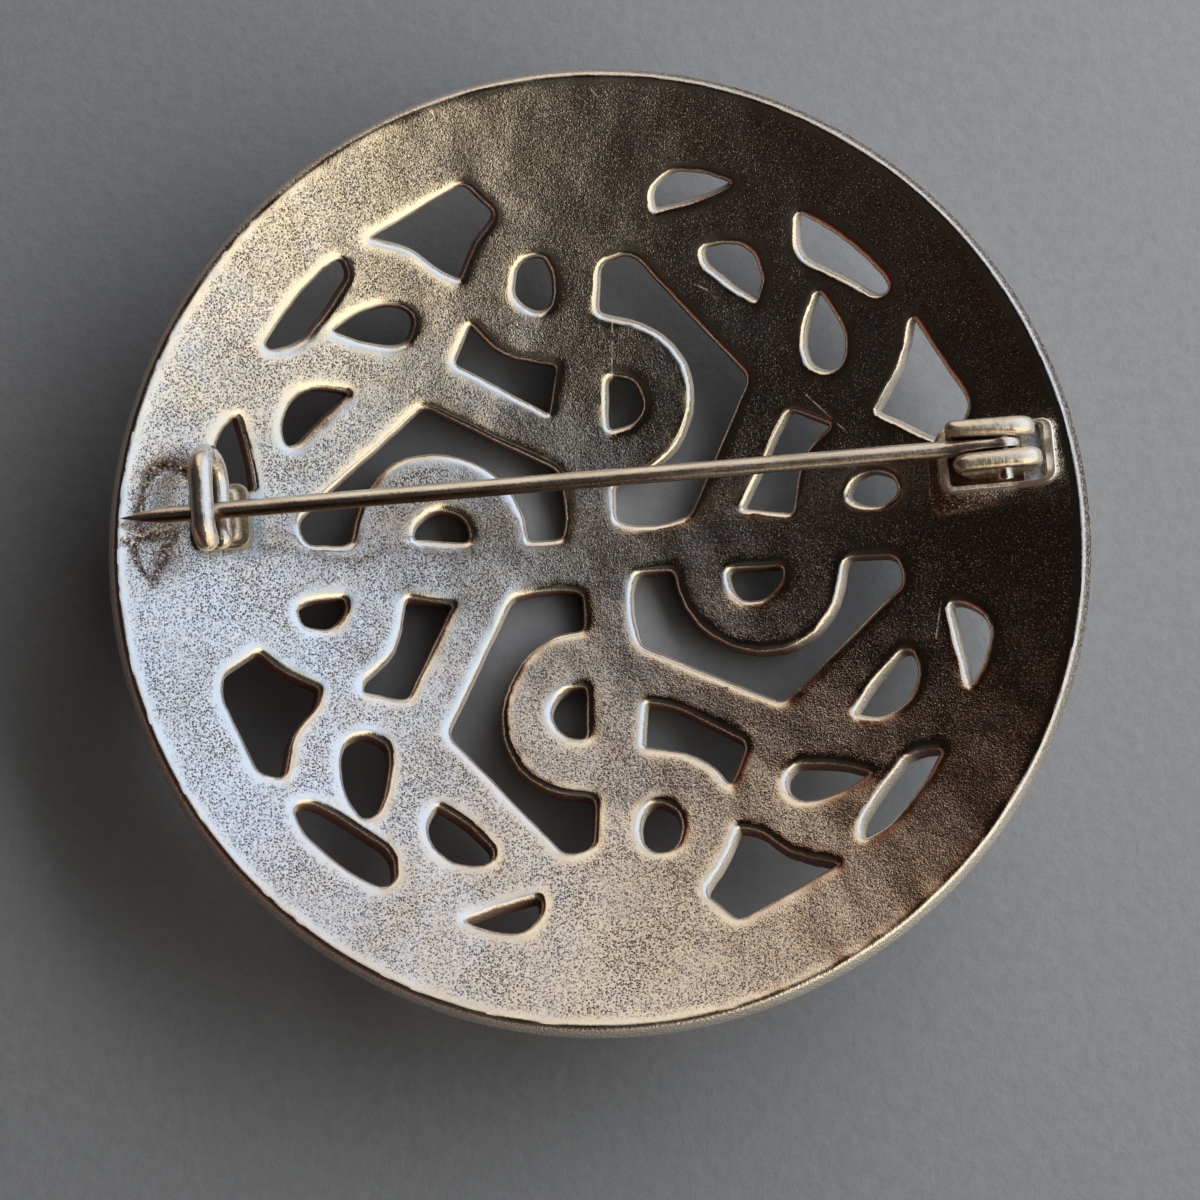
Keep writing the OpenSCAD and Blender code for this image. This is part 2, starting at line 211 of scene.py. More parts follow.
# The seed of the wandering edges, and the side of the plate that the window lights, in degrees:
# shade is painted on the walls by the side that they turn to it
SEED, SUNNY = 7, 35


def length(name, description, default):
    """A length in metres, shown with its unit."""
    return bpy.props.FloatProperty(
        name=name, description=description, default=default, unit="LENGTH", precision=5
    )


def angle(name, description, degrees):
    """An angle, shown in degrees."""
    return bpy.props.FloatProperty(
        name=name, description=description, default=math.radians(degrees), unit="ROTATION"
    )


def colour(name, description, default):
    """A colour of metal, paper or light."""
    return bpy.props.FloatVectorProperty(
        name=name, description=description, default=default, subtype="COLOR", min=0, max=1
    )


def number(name, description, default, **limits):
    """A plain number."""
    return bpy.props.FloatProperty(
        name=name, description=description, default=default, precision=3, **limits
    )


class PlateSettings(bpy.types.PropertyGroup):
    """Sizes of the domed and pierced plate"""

    diameter: length("Diameter", "Across the rim's front edge", SHIELD_HIGH.x - SHIELD_LOW.x)
    hollow_radius: length("Hollow radius", "Radius of the hollow back surface", 0.058)
    wall: length("Wall", "Thickness of the cast plate", 0.0013)
    rest_radius: length("Flat radius", "Radius of the small flat it rests on", 0.0045)
    edge: length("Edge", "Rounding of the rim and the openings", 0.00029)
    draft: length("Draft", "How much the openings narrow towards the front", 0.00014)
    wobble: length("Wobble", "How far the openings' edges wander", 0.00006)
    turn: angle("Pattern turn", "Turn of the openings against the pin", -4.85)
    grid: length("Grid", "Spacing of the plate's faces", 0.0008)
    waves: length("Unevenness", "Height of the casting's soft hollows and swells", 0.00005)
    worn: length("Worn border", "Width of the smooth worn border round the openings", 0.0005)
    fall: length("Fall", "How far the worn border falls away towards its opening", 0.000025)
    skin: length("Skin", "Metal left under the feet of the hinge and the catch", 0.0004)


class HingeSettings(bpy.types.PropertyGroup):
    """Sizes of the hinge seat, its cheeks and the rivet"""

    seat_length: length("Seat length", "Top of the seat, along the pin", 0.00625)
    seat_width: length("Seat width", "Top of the seat, across the pin", 0.0035)
    seat_height: length("Seat height", "Top of the seat over the table", 0.00635)
    seat_slope: length("Seat slope", "How far the seat's sides spread towards its foot", 0.0005)
    seat_floor: length("Tray depth", "Depth of the seat's tray", 0.00025)
    seat_lip: length("Lip", "Width of the lip round the tray", 0.0005)
    rise: length("Rise", "How far the lip stands over the hollow at its high end", 0.00048)
    cheek: length("Cheek", "Thickness of a cheek", 0.0011)
    gap: length("Gap", "Gap between the cheeks at the rivet", 0.00062)
    mouth: length("Mouth", "Gap between the cheeks where the wire comes in", 0.00113)
    rivet: length("Rivet", "Thickness of the rivet", RIVET_HIGH.x - RIVET_LOW.x)


class CatchSettings(bpy.types.PropertyGroup):
    """Sizes of the catch plate and its hook"""

    hook: length("Hook wire", "Thickness of the hook's wire", 0.00115)
    hook_x: length("Hook place", "Place of the hook's upper strand along the pin", -0.02105)
    lean: angle("Lean", "Lean of the hook towards the rim", 12)
    plate_z: length("Plate height", "Top of the catch plate over the table", 0.0059)
    foot_z: length("Foot height", "Top of the foot block over the table", 0.0065)


class PinSettings(bpy.types.PropertyGroup):
    """Sizes of the pin wire"""

    wire: length("Wire", "Thickness of the pin wire", 0.00095)
    point: length("Point", "Length of the sharpened point", 0.0029)
    tongue: length("Tongue", "Thickness of the flattened tongue", 0.0005)
    eye: length("Eye", "Radius of the flattened eye", 0.00095)


class SilverSettings(bpy.types.PropertyGroup):
    """Colours and grain of the silver"""

    cast: colour("Cast silver", "Clean cast silver", (0.90, 0.88, 0.85))
    tarnish: colour("Tarnish", "Brown tarnish of smooth parts", (0.30, 0.20, 0.15))
    soot: colour("Soot", "Dark dirt in the pores of the casting", (0.15, 0.12, 0.10))
    sand: colour("Sand", "Sandy walls of the openings", (0.76, 0.70, 0.60))
    # The scar colour also darkens the rim on its side towards the window
    scar: colour("Scar", "Burnt solder scar beside the catch", (0.14, 0.085, 0.06))
    bloom: colour("Bloom", "Blue bloom of tarnish in some pores", (0.12, 0.19, 0.34))
    rubbed: colour("Rubbed silver", "Silver rubbed bright on edges", (0.93, 0.90, 0.85))
    wire: colour("Wire silver", "Drawn wire of the pin and the hook", (0.84, 0.80, 0.75))
    grain: length("Grain", "Size of the casting's grain", 0.00012)
    relief: length("Relief", "Depth of the casting's grain", 0.0000045)


class StageSettings(bpy.types.PropertyGroup):
    """Camera, lights and floor"""

    distance: length("Distance", "From the hollow's middle to the camera", 0.170)
    tilt: angle("Tilt", "Lean of the camera towards the near side", 9.3)
    side: angle("Side", "Lean of the camera towards the right", 0.5)
    lens: number("Lens", "Focal length on a 36 mm sensor", 91.0, min=20)
    shift: number("Shift", "Shift of the picture up the sensor", -0.036)
    paper: colour("Paper", "The pale floor", (0.27, 0.285, 0.31))
    window: number("Window", "Brightness of the bright side of the room", 1.0, min=0)
    fill: number("Fill", "How much of the room's light the floor gets", 0.5, min=0)
    lamp: number("Lamp", "Power of the low soft light on the bright side, in watts", 1.45, min=0)
    wall: colour("Wall", "The plain wall behind the floor", (0.20, 0.20, 0.205))
    dusk: colour("Dark side", "The dim rest of the room", (0.008, 0.007, 0.0058))


# The bright side of the room: azimuth in the picture in degrees, counter-clockwise from its
# right, and the light's colour there
WINDOW = (
    (-67, (0.0, 0.0, 0.0)),
    (-61, (1.0, 0.88, 0.66)),
    (-40, (0.92, 0.80, 0.60)),
    (-18, (0.72, 0.68, 0.59)),
    (5, (0.58, 0.63, 0.67)),
    (25, (0.53, 0.62, 0.75)),
    (45, (0.54, 0.62, 0.75)),
    (62, (0.59, 0.61, 0.65)),
    (80, (0.48, 0.435, 0.385)),
    (103, (0.68, 0.61, 0.50)),
    (115, (0.46, 0.37, 0.29)),
    (122, (0.20, 0.10, 0.062)),
    (130, (0.05, 0.024, 0.016)),
    (136, (0.0, 0.0, 0.0)),
)
# How bright it is at each height over the floor, in degrees
WINDOW_HEIGHTS = ((0, 0.8), (20, 1.0), (40, 1.0), (50, 1.05), (60, 0.95), (70, 0.75),
                  (78, 0.4), (84, 0.05))
# The window narrows between these heights: its middle, and how much at the top
WINDOW_MIDDLE, NARROWING, NARROWING_HEIGHTS = 30, 0.35, (48, 80)
# The red-brown glow low on the dark side: azimuth and colour
GLOW = (
    (-180, (0.06, 0.036, 0.03)),
    (-150, (0.44, 0.14, 0.075)),
    (-130, (0.34, 0.11, 0.058)),
    (-110, (0.06, 0.036, 0.03)),
    (-70, (0.0, 0.0, 0.0)),
    (133, (0.0, 0.0, 0.0)),
    (141, (0.33, 0.13, 0.084)),
    (160, (0.10, 0.07, 0.048)),
)
GLOW_HEIGHTS = ((0, 1.0), (12, 0.8), (26, 0.10), (42, 0.02), (80, 0.01))
# The pale haze higher up on the dark side
HAZE = (
    (-180, (0.018, 0.016, 0.014)),
    (-150, (0.024, 0.021, 0.018)),
    (-115, (0.034, 0.030, 0.026)),
    (-78, (0.095, 0.086, 0.074)),
    (-60, (0.0, 0.0, 0.0)),
    (133, (0.0, 0.0, 0.0)),
    (160, (0.014, 0.012, 0.010)),
)
HAZE_HEIGHTS = ((32, 0.1), (45, 0.6), (56, 1.0), (68, 1.0), (78, 0.5), (85, 0.2))
# The low light beside the window's near end
LOW = (
    (-86, (0.0, 0.0, 0.0)),
    (-79, (0.50, 0.40, 0.29)),
    (-67, (0.85, 0.73, 0.54)),
    (-61, (0.0, 0.0, 0.0)),
)
LOW_HEIGHTS = ((0, 1.0), (28, 1.0), (38, 0.0))
# The lamp: its azimuth and height in degrees, and its distance, length and width in metres
LAMP_AZIMUTH, LAMP_HEIGHT, LAMP_DISTANCE, LAMP_SIZE = 24, 30, 0.24, (0.70, 0.14)


# The smooth silvers: colour, or the setting that holds it, roughness, size of the grain and
# depth of the relief in metres, share of stain, and share of bare metal
SMOOTH = {
    "front_silver": ("rubbed", 0.16, 0.0004, 0.000002, 0.25, 1.0),
    "seat_silver": ((0.92, 0.88, 0.82), 0.24, 0.0003, 0.000003, 0.6, 0.72),
    # The tray's floor: a painted red-brown reflection and shade on its left, and a painted
    # blue-grey reflection on its right
    "tray_painted_brown_reflection": ((0.20, 0.12, 0.09), 0.24, 0.0003, 0.000003, 0.6, 0.72),
    "tray_painted_blue_reflection": ((0.66, 0.71, 0.78), 0.24, 0.0003, 0.000003, 0.6, 0.72),
    "cheek_silver": ((0.82, 0.76, 0.66), 0.2, 0.0003, 0.000003, 0.45, 0.85),
    "rivet_silver": ("rubbed", 0.2, 0.0002, 0.000004, 0.4, 1.0),
    "catch_plate_silver": ((0.42, 0.38, 0.31), 0.24, 0.0002, 0.000006, 0.45, 0.8),
    "catch_foot_silver": ((0.66, 0.60, 0.51), 0.24, 0.0002, 0.000006, 0.45, 0.8),
    "hook_silver": ("wire", 0.16, 0.0003, 0.000003, 0.5, 0.9),
}


# Working with pieces


def work_on(piece):
    """Select this piece alone, in object mode."""
    if bpy.context.object and bpy.context.object.mode != "OBJECT":
        bpy.ops.object.mode_set(mode="OBJECT")
    bpy.ops.object.select_all(action="DESELECT")
    if piece:
        piece.select_set(True)
    bpy.context.view_layer.objects.active = piece


def new_piece(name):
    """The primitive just added, under its piece's name, with its place brought into its mesh."""
    piece = bpy.context.object
    piece.name = name
    piece.data.name = name
    bpy.ops.object.transform_apply(location=True, rotation=True, scale=True)
    return piece


def rod(name, radius, long, place=PIVOT):
    """A round rod across the pin: the rivet, or a tool for its holes."""
    work_on(None)
    bpy.ops.mesh.primitive_cylinder_add(
        vertices=32, radius=radius, depth=long, location=place, rotation=(math.pi / 2, 0, 0)
    )
    return new_piece(name)


def lay(piece, *moves):
    """Turn and move the piece's mesh, one move after the other."""
    for move in moves:
        piece.data.transform(move)


def asked(context, *groups):
    """The panel's values of these groups."""
    return [getattr(context.scene, f"brooch_{group}") for group in groups]


def held(value):
    """The value, kept between 0 and 1."""
    return min(1, max(0, value))


def edit(piece, select=None):
    """Enter edit mode with only the faces selected whose middle and normal pass."""
    work_on(piece)
    bpy.ops.object.mode_set(mode="EDIT")
    bpy.ops.mesh.select_mode(type="FACE")
    bpy.ops.mesh.select_all(action="SELECT" if select is None else "DESELECT")
    if select is not None:
        bpy.ops.object.mode_set(mode="OBJECT")
        for face in piece.data.polygons:
            face.select = select(face.center, face.normal)
        bpy.ops.object.mode_set(mode="EDIT")


def finish_modifier(piece, kind, **values):
    """Add a modifier, set it and apply it."""
    work_on(piece)
    bpy.ops.object.modifier_add(type=kind)
    modifier = piece.modifiers[-1]
    for key, value in values.items():
        setattr(modifier, key, value)
    bpy.ops.object.modifier_apply(modifier=modifier.name)


def cut_away(piece, tool, operation="DIFFERENCE"):
    """Cut a tool out of a piece, or join it on, and throw the tool away."""
    finish_modifier(piece, "BOOLEAN", object=tool, operation=operation, solver="EXACT")
    bpy.data.objects.remove(tool, do_unlink=True)


def soften(piece, width, limit):
    """Round the piece's edges that are sharper than the limit, in degrees."""
    finish_modifier(
        piece, "BEVEL", width=width, segments=3, limit_method="ANGLE",
        angle_limit=math.radians(limit), harden_normals=False,
    )


def roughen(piece, height, size, seed=0):
    """Move the surface in and out a little, so that it looks made by hand."""
    mesh = piece.data
    normals = [v.normal.copy() for v in mesh.vertices]
    shift = Vector((seed, 2 * seed, 3 * seed))
    for vertex, normal in zip(mesh.vertices, normals):
        vertex.co += normal * height * noise.noise(vertex.co / size + shift)


def two_waves(x, y, *waves):
    """Noise at a place in two sizes, the second weaker: the level and size of each."""
    broad, fine = (noise.noise(Vector((x, y, level)) / size) for level, size in waves)
    return broad + 0.6 * fine


def refine(piece, low, high, cuts):
    """Cut the faces of a sheet's upper side finer inside a rectangle."""
    edit(piece, lambda place, normal: (
        normal.z > 0.9 and low[0] < place.x < high[0] and low[1] < place.y < high[1]
    ))
    bpy.ops.mesh.subdivide(number_cuts=cuts)
    bpy.ops.object.mode_set(mode="OBJECT")


def let_into_plate(piece, plate):
    """Keep the foot of a piece inside the plate's front surface."""
    centre_z = dome_centre(plate)
    reach = (plate.hollow_radius + plate.wall - plate.skin) / MM
    for vertex in piece.data.vertices:
        x, y, z = vertex.co
        vertex.co.z = max(z, centre_z - math.sqrt(reach**2 - x * x - y * y))


def to_metres(piece, materials, body, node, sharp=40):
    """Shade the piece, bring it to metres, hide the part it stands for, and hang it on the body it
    rides on.
    """
    if not piece.data.polygons:
        raise RuntimeError(f"{piece.name} came out with no faces")
    work_on(piece)
    piece.data.transform(Matrix.Scale(MM, 4))
    bpy.ops.object.shade_smooth_by_angle(angle=math.radians(sharp))
    for material in materials:
        piece.data.materials.append(material)
    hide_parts(node)
    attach(piece, body)


# Shapes


def eased_outline(table, steps=5):
    """A closed outline through a table of corners, each rounded by a short curve."""
    outline = []
    for i, (x, y, ease) in enumerate(table):
        corner = Vector((x, y))
        ends = []
        for other in (table[i - 1], table[(i + 1) % len(table)]):
            side = Vector(other[:2]) - corner
            ends.append(corner + side * (min(ease, side.length / 2) / side.length))
        for k in range(steps + 1):
            t = k / steps
            outline.append(ends[0] * (1 - t) ** 2 + corner * 2 * t * (1 - t) + ends[1] * t * t)
    following = outline[1:] + outline[:1]
    return [p for p, q in zip(outline, following) if (p - q).length > 0.02]


def rounded_box(low, high, ease):
    """The outline of a box with rounded corners."""
    return eased_outline([
        (low.x, low.y, ease), (high.x, low.y, ease), (high.x, high.y, ease), (low.x, high.y, ease)
    ])


def circle(radius, sides):
    """A round outline."""
    turns = (math.tau * i / sides for i in range(sides))
    return [Vector((radius * math.cos(turn), radius * math.sin(turn))) for turn in turns]


def turned(outline, angle):
    """An outline turned about the middle."""
    return [p @ Matrix.Rotation(-angle, 2) for p in outline]


def drawn_mesh(name, paths, merge, radii=None, **values):
    """Draw paths as lines of a curve, set its values, and turn it into a closed mesh."""
    work_on(None)
    bpy.ops.curve.primitive_bezier_curve_add()
    drawing = bpy.context.object
    drawing.name = name
    curve = drawing.data
    curve.splines.clear()
    for path in paths:
        spline = curve.splines.new("POLY")
        spline.points.add(len(path) - 1)
        for i, (point, place) in enumerate(zip(spline.points, path)):
            point.co = (*place, *(0,) * (3 - len(place)), 1)
            point.radius = radii[i] if radii else 1
        spline.use_cyclic_u = not radii
    for key, value in values.items():
        setattr(curve, key, value)
    work_on(drawing)
    bpy.ops.object.convert(target="MESH")
    piece = bpy.context.object
    edit(piece)
    bpy.ops.mesh.remove_doubles(threshold=merge)
    bpy.ops.mesh.normals_make_consistent(inside=False)
    bpy.ops.object.mode_set(mode="OBJECT")
    return piece


def sawn_sheet(name, outlines, thickness, edge, rounding=3):
    """A flat sheet sawn to outlines, its edges softly rounded inside its own thickness."""
    return drawn_mesh(
        name, outlines, 0.002, dimensions="2D", fill_mode="BOTH", extrude=thickness / 2 - edge,
        bevel_depth=edge, bevel_resolution=rounding, offset=-edge,
    )


def block(name, low, high, ease, foot, top, edge, rounding=3):
    """A block with rounded corners, from foot to top."""
    piece = sawn_sheet(name, [rounded_box(low, high, ease)], top - foot, edge, rounding)
    lay(piece, Matrix.Translation((0, 0, (top + foot) / 2)))
    return piece


def cut_grid(piece, step):
    """Cut the piece's faces along a square grid, so that it can be bent."""
    places = [v.co.copy() for v in piece.data.vertices]
    edit(piece)
    for axis, normal in enumerate(((1, 0, 0), (0, 1, 0))):
        low, high = min(p[axis] for p in places), max(p[axis] for p in places)
        for i in range(math.ceil(low / step), math.floor(high / step) + 1):
            bpy.ops.mesh.select_all(action="SELECT")
            bpy.ops.mesh.bisect(plane_co=[i * step * n for n in normal], plane_no=normal)
    bpy.ops.object.mode_set(mode="OBJECT")


def bent_wire(name, path, radii, sides=16):
    """A round wire along a path, in millimetres, with a radius at each point."""
    return drawn_mesh(
        name, [path], 0.001, radii, dimensions="3D", twist_mode="MINIMUM", bevel_depth=1,
        bevel_resolution=sides // 4, use_fill_caps=True,
    )


def dome_centre(plate):
    """Height of the centre of the dome's spheres, in millimetres."""
    front = (plate.hollow_radius + plate.wall) / MM
    return math.sqrt(front**2 - (plate.rest_radius / MM) ** 2)


def hollow_height(plate, x, y):
    """Height of the hollow surface, in millimetres."""
    return dome_centre(plate) - math.sqrt((plate.hollow_radius / MM) ** 2 - x * x - y * y)


class Mound:
    """A raised place in the casting, flat on top, with sides that run softly into the hollow.

    Low and high are the corners of its top. Rise is how far it stands over the hollow at
    least. Left, right, near and far are the widths of its sides. Halo is the strength of the
    grey-blue ring of solder on them.
    """

    def __init__(self, low, high, top, rise, left, right, near, far, halo=0):
        self.low, self.high, self.top, self.rise = low, high, top, rise
        self.left, self.right, self.near, self.far = left, right, near, far
        self.halo = halo

    def height(self, x, y, z):
        """Height here, where it would be z without the mound, how steep it is, and its halo."""
        away = math.hypot(
            max((self.low.x - x) / self.left, (x - self.high.x) / self.right, 0),
            max((self.low.y - y) / self.near, (y - self.high.y) / self.far, 0),
        )
        if away >= 1:
            return z, 0, 0
        top = max(self.top, z + self.rise)
        steep = min(1, 3 * away * (1 - away) * (top - z))
        share = (1 - away) ** 2 * (1 + 2 * away)
        return z + (top - z) * share, steep, self.halo * share


# Materials


def wire_up(tree, kind, inputs=(), **settings):
    """Add a shader node, set it, and link or set its inputs."""
    made = tree.nodes.new(kind)
    for key, value in settings.items():
        setattr(made, key, value)
    for key, value in dict(inputs).items():
        if isinstance(value, bpy.types.NodeSocket):
            tree.links.new(value, made.inputs[key])
        else:
            made.inputs[key].default_value = value
    return made


def fresh_material(name):
    """A metal material with its own places, ready for colour, roughness and bump."""
    material = bpy.data.materials.new(name)
    material.use_nodes = True
    tree = material.node_tree
    shader = tree.nodes["Principled BSDF"]
    shader.inputs["Metallic"].default_value = 1
    place = wire_up(tree, "ShaderNodeTexCoord").outputs["Object"]
    return material, tree, shader, place


def ranged(tree, value, start, end, low=0.0, high=1.0, kind="LINEAR"):
    """A value from start to end turned into one from low to high."""
    return wire_up(
        tree, "ShaderNodeMapRange",
        {"Value": value, "From Min": start, "From Max": end, "To Min": low, "To Max": high},
        interpolation_type=kind,
    ).outputs["Result"]


def cloud(tree, place, scale, detail, roughness):
    """The outputs of a noise texture."""
    return wire_up(
        tree, "ShaderNodeTexNoise",
        {"Vector": place, "Scale": scale, "Detail": detail, "Roughness": roughness},
    ).outputs


def mottle(tree, place, size, detail=3, roughness=0.6, low=0.35, high=0.65):
    """Soft patches of a given size in metres, from 0 to 1."""
    patches = cloud(tree, place, 1 / size, detail, roughness)["Fac"]
    return ranged(tree, patches, low, high, kind="SMOOTHSTEP")


def blend_colours(tree, share, first, second):
    """First colour where share is 0, second where it is 1."""
    mix = wire_up(tree, "ShaderNodeMix", data_type="RGBA")
    for socket, value in (("Factor_Float", share), ("A_Color", first), ("B_Color", second)):
        target = next(s for s in mix.inputs if s.identifier == socket)
        if isinstance(value, bpy.types.NodeSocket):
            tree.links.new(value, target)
        else:
            target.default_value = value if isinstance(value, float) else (*value[:3], 1)
    return next(s for s in mix.outputs if s.identifier == "Result_Color")


def sum_up(tree, operation, first, second=0.5, third=0.5):
    """One step of arithmetic."""
    return wire_up(
        tree, "ShaderNodeMath", {0: first, 1: second, 2: third}, operation=operation
    ).outputs[0]


def times(tree, first, second):
    """The product of two values."""
    return sum_up(tree, "MULTIPLY", first, second)


def raised(tree, first, factor, under):
    """The first value times a factor, added to the one under it."""
    return sum_up(tree, "MULTIPLY_ADD", first, factor, under)


def layered(tree, metal, layers):
    """Colours laid one over the other: share, strength and colour of each layer."""
    for share, strength, tint in layers:
        metal = blend_colours(tree, times(tree, share, strength), metal, tint)
    return metal


def bumps(tree, layers):
    """Relief laid one over the other: height from 0 to 1, its depth in metres, and strength."""
    surface = None
    for height, depth, strength in layers:
        inputs = {"Height": height, "Distance": depth, "Strength": strength}
        if surface is not None:
            inputs["Normal"] = surface
        surface = wire_up(tree, "ShaderNodeBump", inputs).outputs["Normal"]
    return surface


def finish_material(tree, shader, **values):
    """Link or set the shader's inputs."""
    for key, value in values.items():
        target = shader.inputs[key.replace("_", " ")]
        if isinstance(value, bpy.types.NodeSocket):
            tree.links.new(value, target)
        else:
            target.default_value = value


def scratches(tree, place, turn, size, share):
    """Fine straight scratches in one direction, from 0 to 1."""
    stretched = wire_up(
        tree, "ShaderNodeMapping",
        {"Vector": place, "Rotation": (0, 0, turn), "Scale": (1 / size, 0.03 / size, 0)},
    ).outputs["Vector"]
    lines = cloud(tree, stretched, 1.0, 1.0, 0.4)["Fac"]
    return ranged(tree, lines, 0.5 + share, 0.54 + share)


def single_scratch(tree, place, start, end):
    """One fine scratch from start to end, in millimetres, from 0 to 1."""
    start, end = Vector(start) * MM, Vector(end) * MM
    along = end - start
    turn = (0, 0, math.atan2(along.y, along.x))
    mapping = wire_up(
        tree, "ShaderNodeMapping",
        {"Vector": place, "Location": (*start, 0), "Rotation": turn,
         "Scale": (along.length, SCRATCH_WIDTH, 1)},
        vector_type="TEXTURE",
    )
    axes = wire_up(tree, "ShaderNodeSeparateXYZ", {"Vector": mapping.outputs["Vector"]}).outputs
    narrow = sum_up(tree, "LESS_THAN", sum_up(tree, "ABSOLUTE", axes["Y"]), 1.0)
    inside = sum_up(tree, "COMPARE", axes["X"], 0.5, 0.5)
    return times(tree, narrow, inside)


def cast_silver(silver):
    """The granular cast back: dark dirt in its pores, and worn smooth round the openings."""
    material, tree, shader, place = fresh_material("cast_silver")
    worn, walls, scar, dim, coarse, halo = (
        wire_up(tree, "ShaderNodeAttribute", attribute_name=name).outputs["Fac"] for name in COATS
    )
    size, relief = silver.grain, silver.relief
    patches = mottle(tree, place, 0.0035, low=0.3, high=0.7)
    broad = mottle(tree, place, 0.012, low=0.4, high=0.62)
    # Dirt sits in scattered pores, each of its own darkness, and is gone where worn
    ragged = cloud(tree, place, 1.7 / size, 2.0, 0.6)["Color"]
    moved = wire_up(
        tree, "ShaderNodeVectorMath", {0: ragged, 1: (size * 0.8,) * 3, 2: place},
        operation="MULTIPLY_ADD",
    ).outputs["Vector"]
    pores = wire_up(tree, "ShaderNodeTexVoronoi", {"Vector": moved, "Scale": 1 / size}).outputs
    each = wire_up(tree, "ShaderNodeSeparateColor", {"Color": pores["Color"]}).outputs
    middle = ranged(tree, pores["Distance"], 0.66, 0.28, kind="SMOOTHSTEP")
    level = raised(tree, worn, -1.1, raised(tree, patches, 0.45, each["Red"]))
    dirt = ranged(tree, times(tree, level, middle), 0.0, 1.0)
    bloom = mottle(tree, place, 0.0042, detail=2, low=0.43, high=0.57)
    blue = times(tree, bloom, each["Green"])
    dirt_colour = blend_colours(tree, blue, silver.soot, silver.bloom)
    # Solder scars, and the rim darker on its side towards the window, in patches
    scar_and_dark_rim = times(tree, mottle(tree, place, 0.00017, detail=4, low=0.30, high=0.60), scar)
    scratched = 0.0
    for start, end in SCRATCHES:
        scratched = sum_up(tree, "ADD", single_scratch(tree, place, start, end), scratched)
    scratched = times(tree, scratched, mottle(tree, place, 0.0006, low=0.35, high=0.6))
    metal = layered(tree, silver.cast, (
        (broad, 0.25, (0.60, 0.53, 0.46)),
        (dirt, 0.9, dirt_colour),
        (worn, 0.6, silver.rubbed),
        (walls, 0.8, silver.sand),
        # Painted red-brown shade on the walls turned from the window
        (dim, 0.92, (0.24, 0.09, 0.055)),
        (halo, 0.6, (0.36, 0.42, 0.50)),
        # Solder scars, and the rim darker on its side towards the window
        (scar_and_dark_rim, 1.0, silver.scar),
        (scratched, 1.0, silver.rubbed),
    ))
    metallic = raised(tree, walls, -0.5, raised(tree, scratched, -0.4, 1.0))
    rough = raised(tree, dirt, 0.27, ranged(tree, patches, 0.0, 1.0, 0.09, 0.14))
    rough = raised(tree, scar_and_dark_rim, 0.25, raised(tree, walls, 0.22, rough))
    calm = ranged(tree, worn, 0.0, 1.0, 1.0, 0.25)
    surface = bumps(tree, (
        (mottle(tree, place, size * 4.4, detail=2, low=0.25, high=0.75), relief * 1.5, calm),
        (mottle(tree, place, size * 0.8, detail=2, low=0.25, high=0.75), relief * 1.7, calm),
        (mottle(tree, place, size * 0.9, detail=2, low=0.57, high=0.70), relief * 1.3, calm),
        (dirt, -relief * 0.5, 1.0),
        (mottle(tree, place, size * 1.2, low=0.3, high=0.7), relief * 9, coarse),
    ))
    finish_material(
        tree, shader, Base_Color=metal, Metallic=metallic, Roughness=rough, Normal=surface
    )
    return material


def smooth_silver(name, silver):
    """Worn, smoothed silver with faint stains and fine handling marks."""
    colour, rough, grain, depth, stain, metallic = SMOOTH[name]
    if isinstance(colour, str):
        colour = getattr(silver, colour)
    material, tree, shader, place = fresh_material(name)
    stains = mottle(tree, place, 0.0013, detail=4, low=0.5, high=0.72)
    fine = mottle(tree, place, grain)
    finish_material(
        tree, shader,
        Base_Color=layered(tree, colour, ((stains, stain, silver.tarnish),)),
        Metallic=metallic,
        Roughness=ranged(tree, fine, 0.0, 1.0, rough * 0.8, rough * 1.3),
        Normal=bumps(tree, (
            (mottle(tree, place, 0.0011, detail=2), depth * 3, 1.0),
            (fine, depth, 1.0),
            (scratches(tree, place, 1.1, 0.00012, 0.14), -depth, 1.0),
        )),
    )
    return material


# Pieces


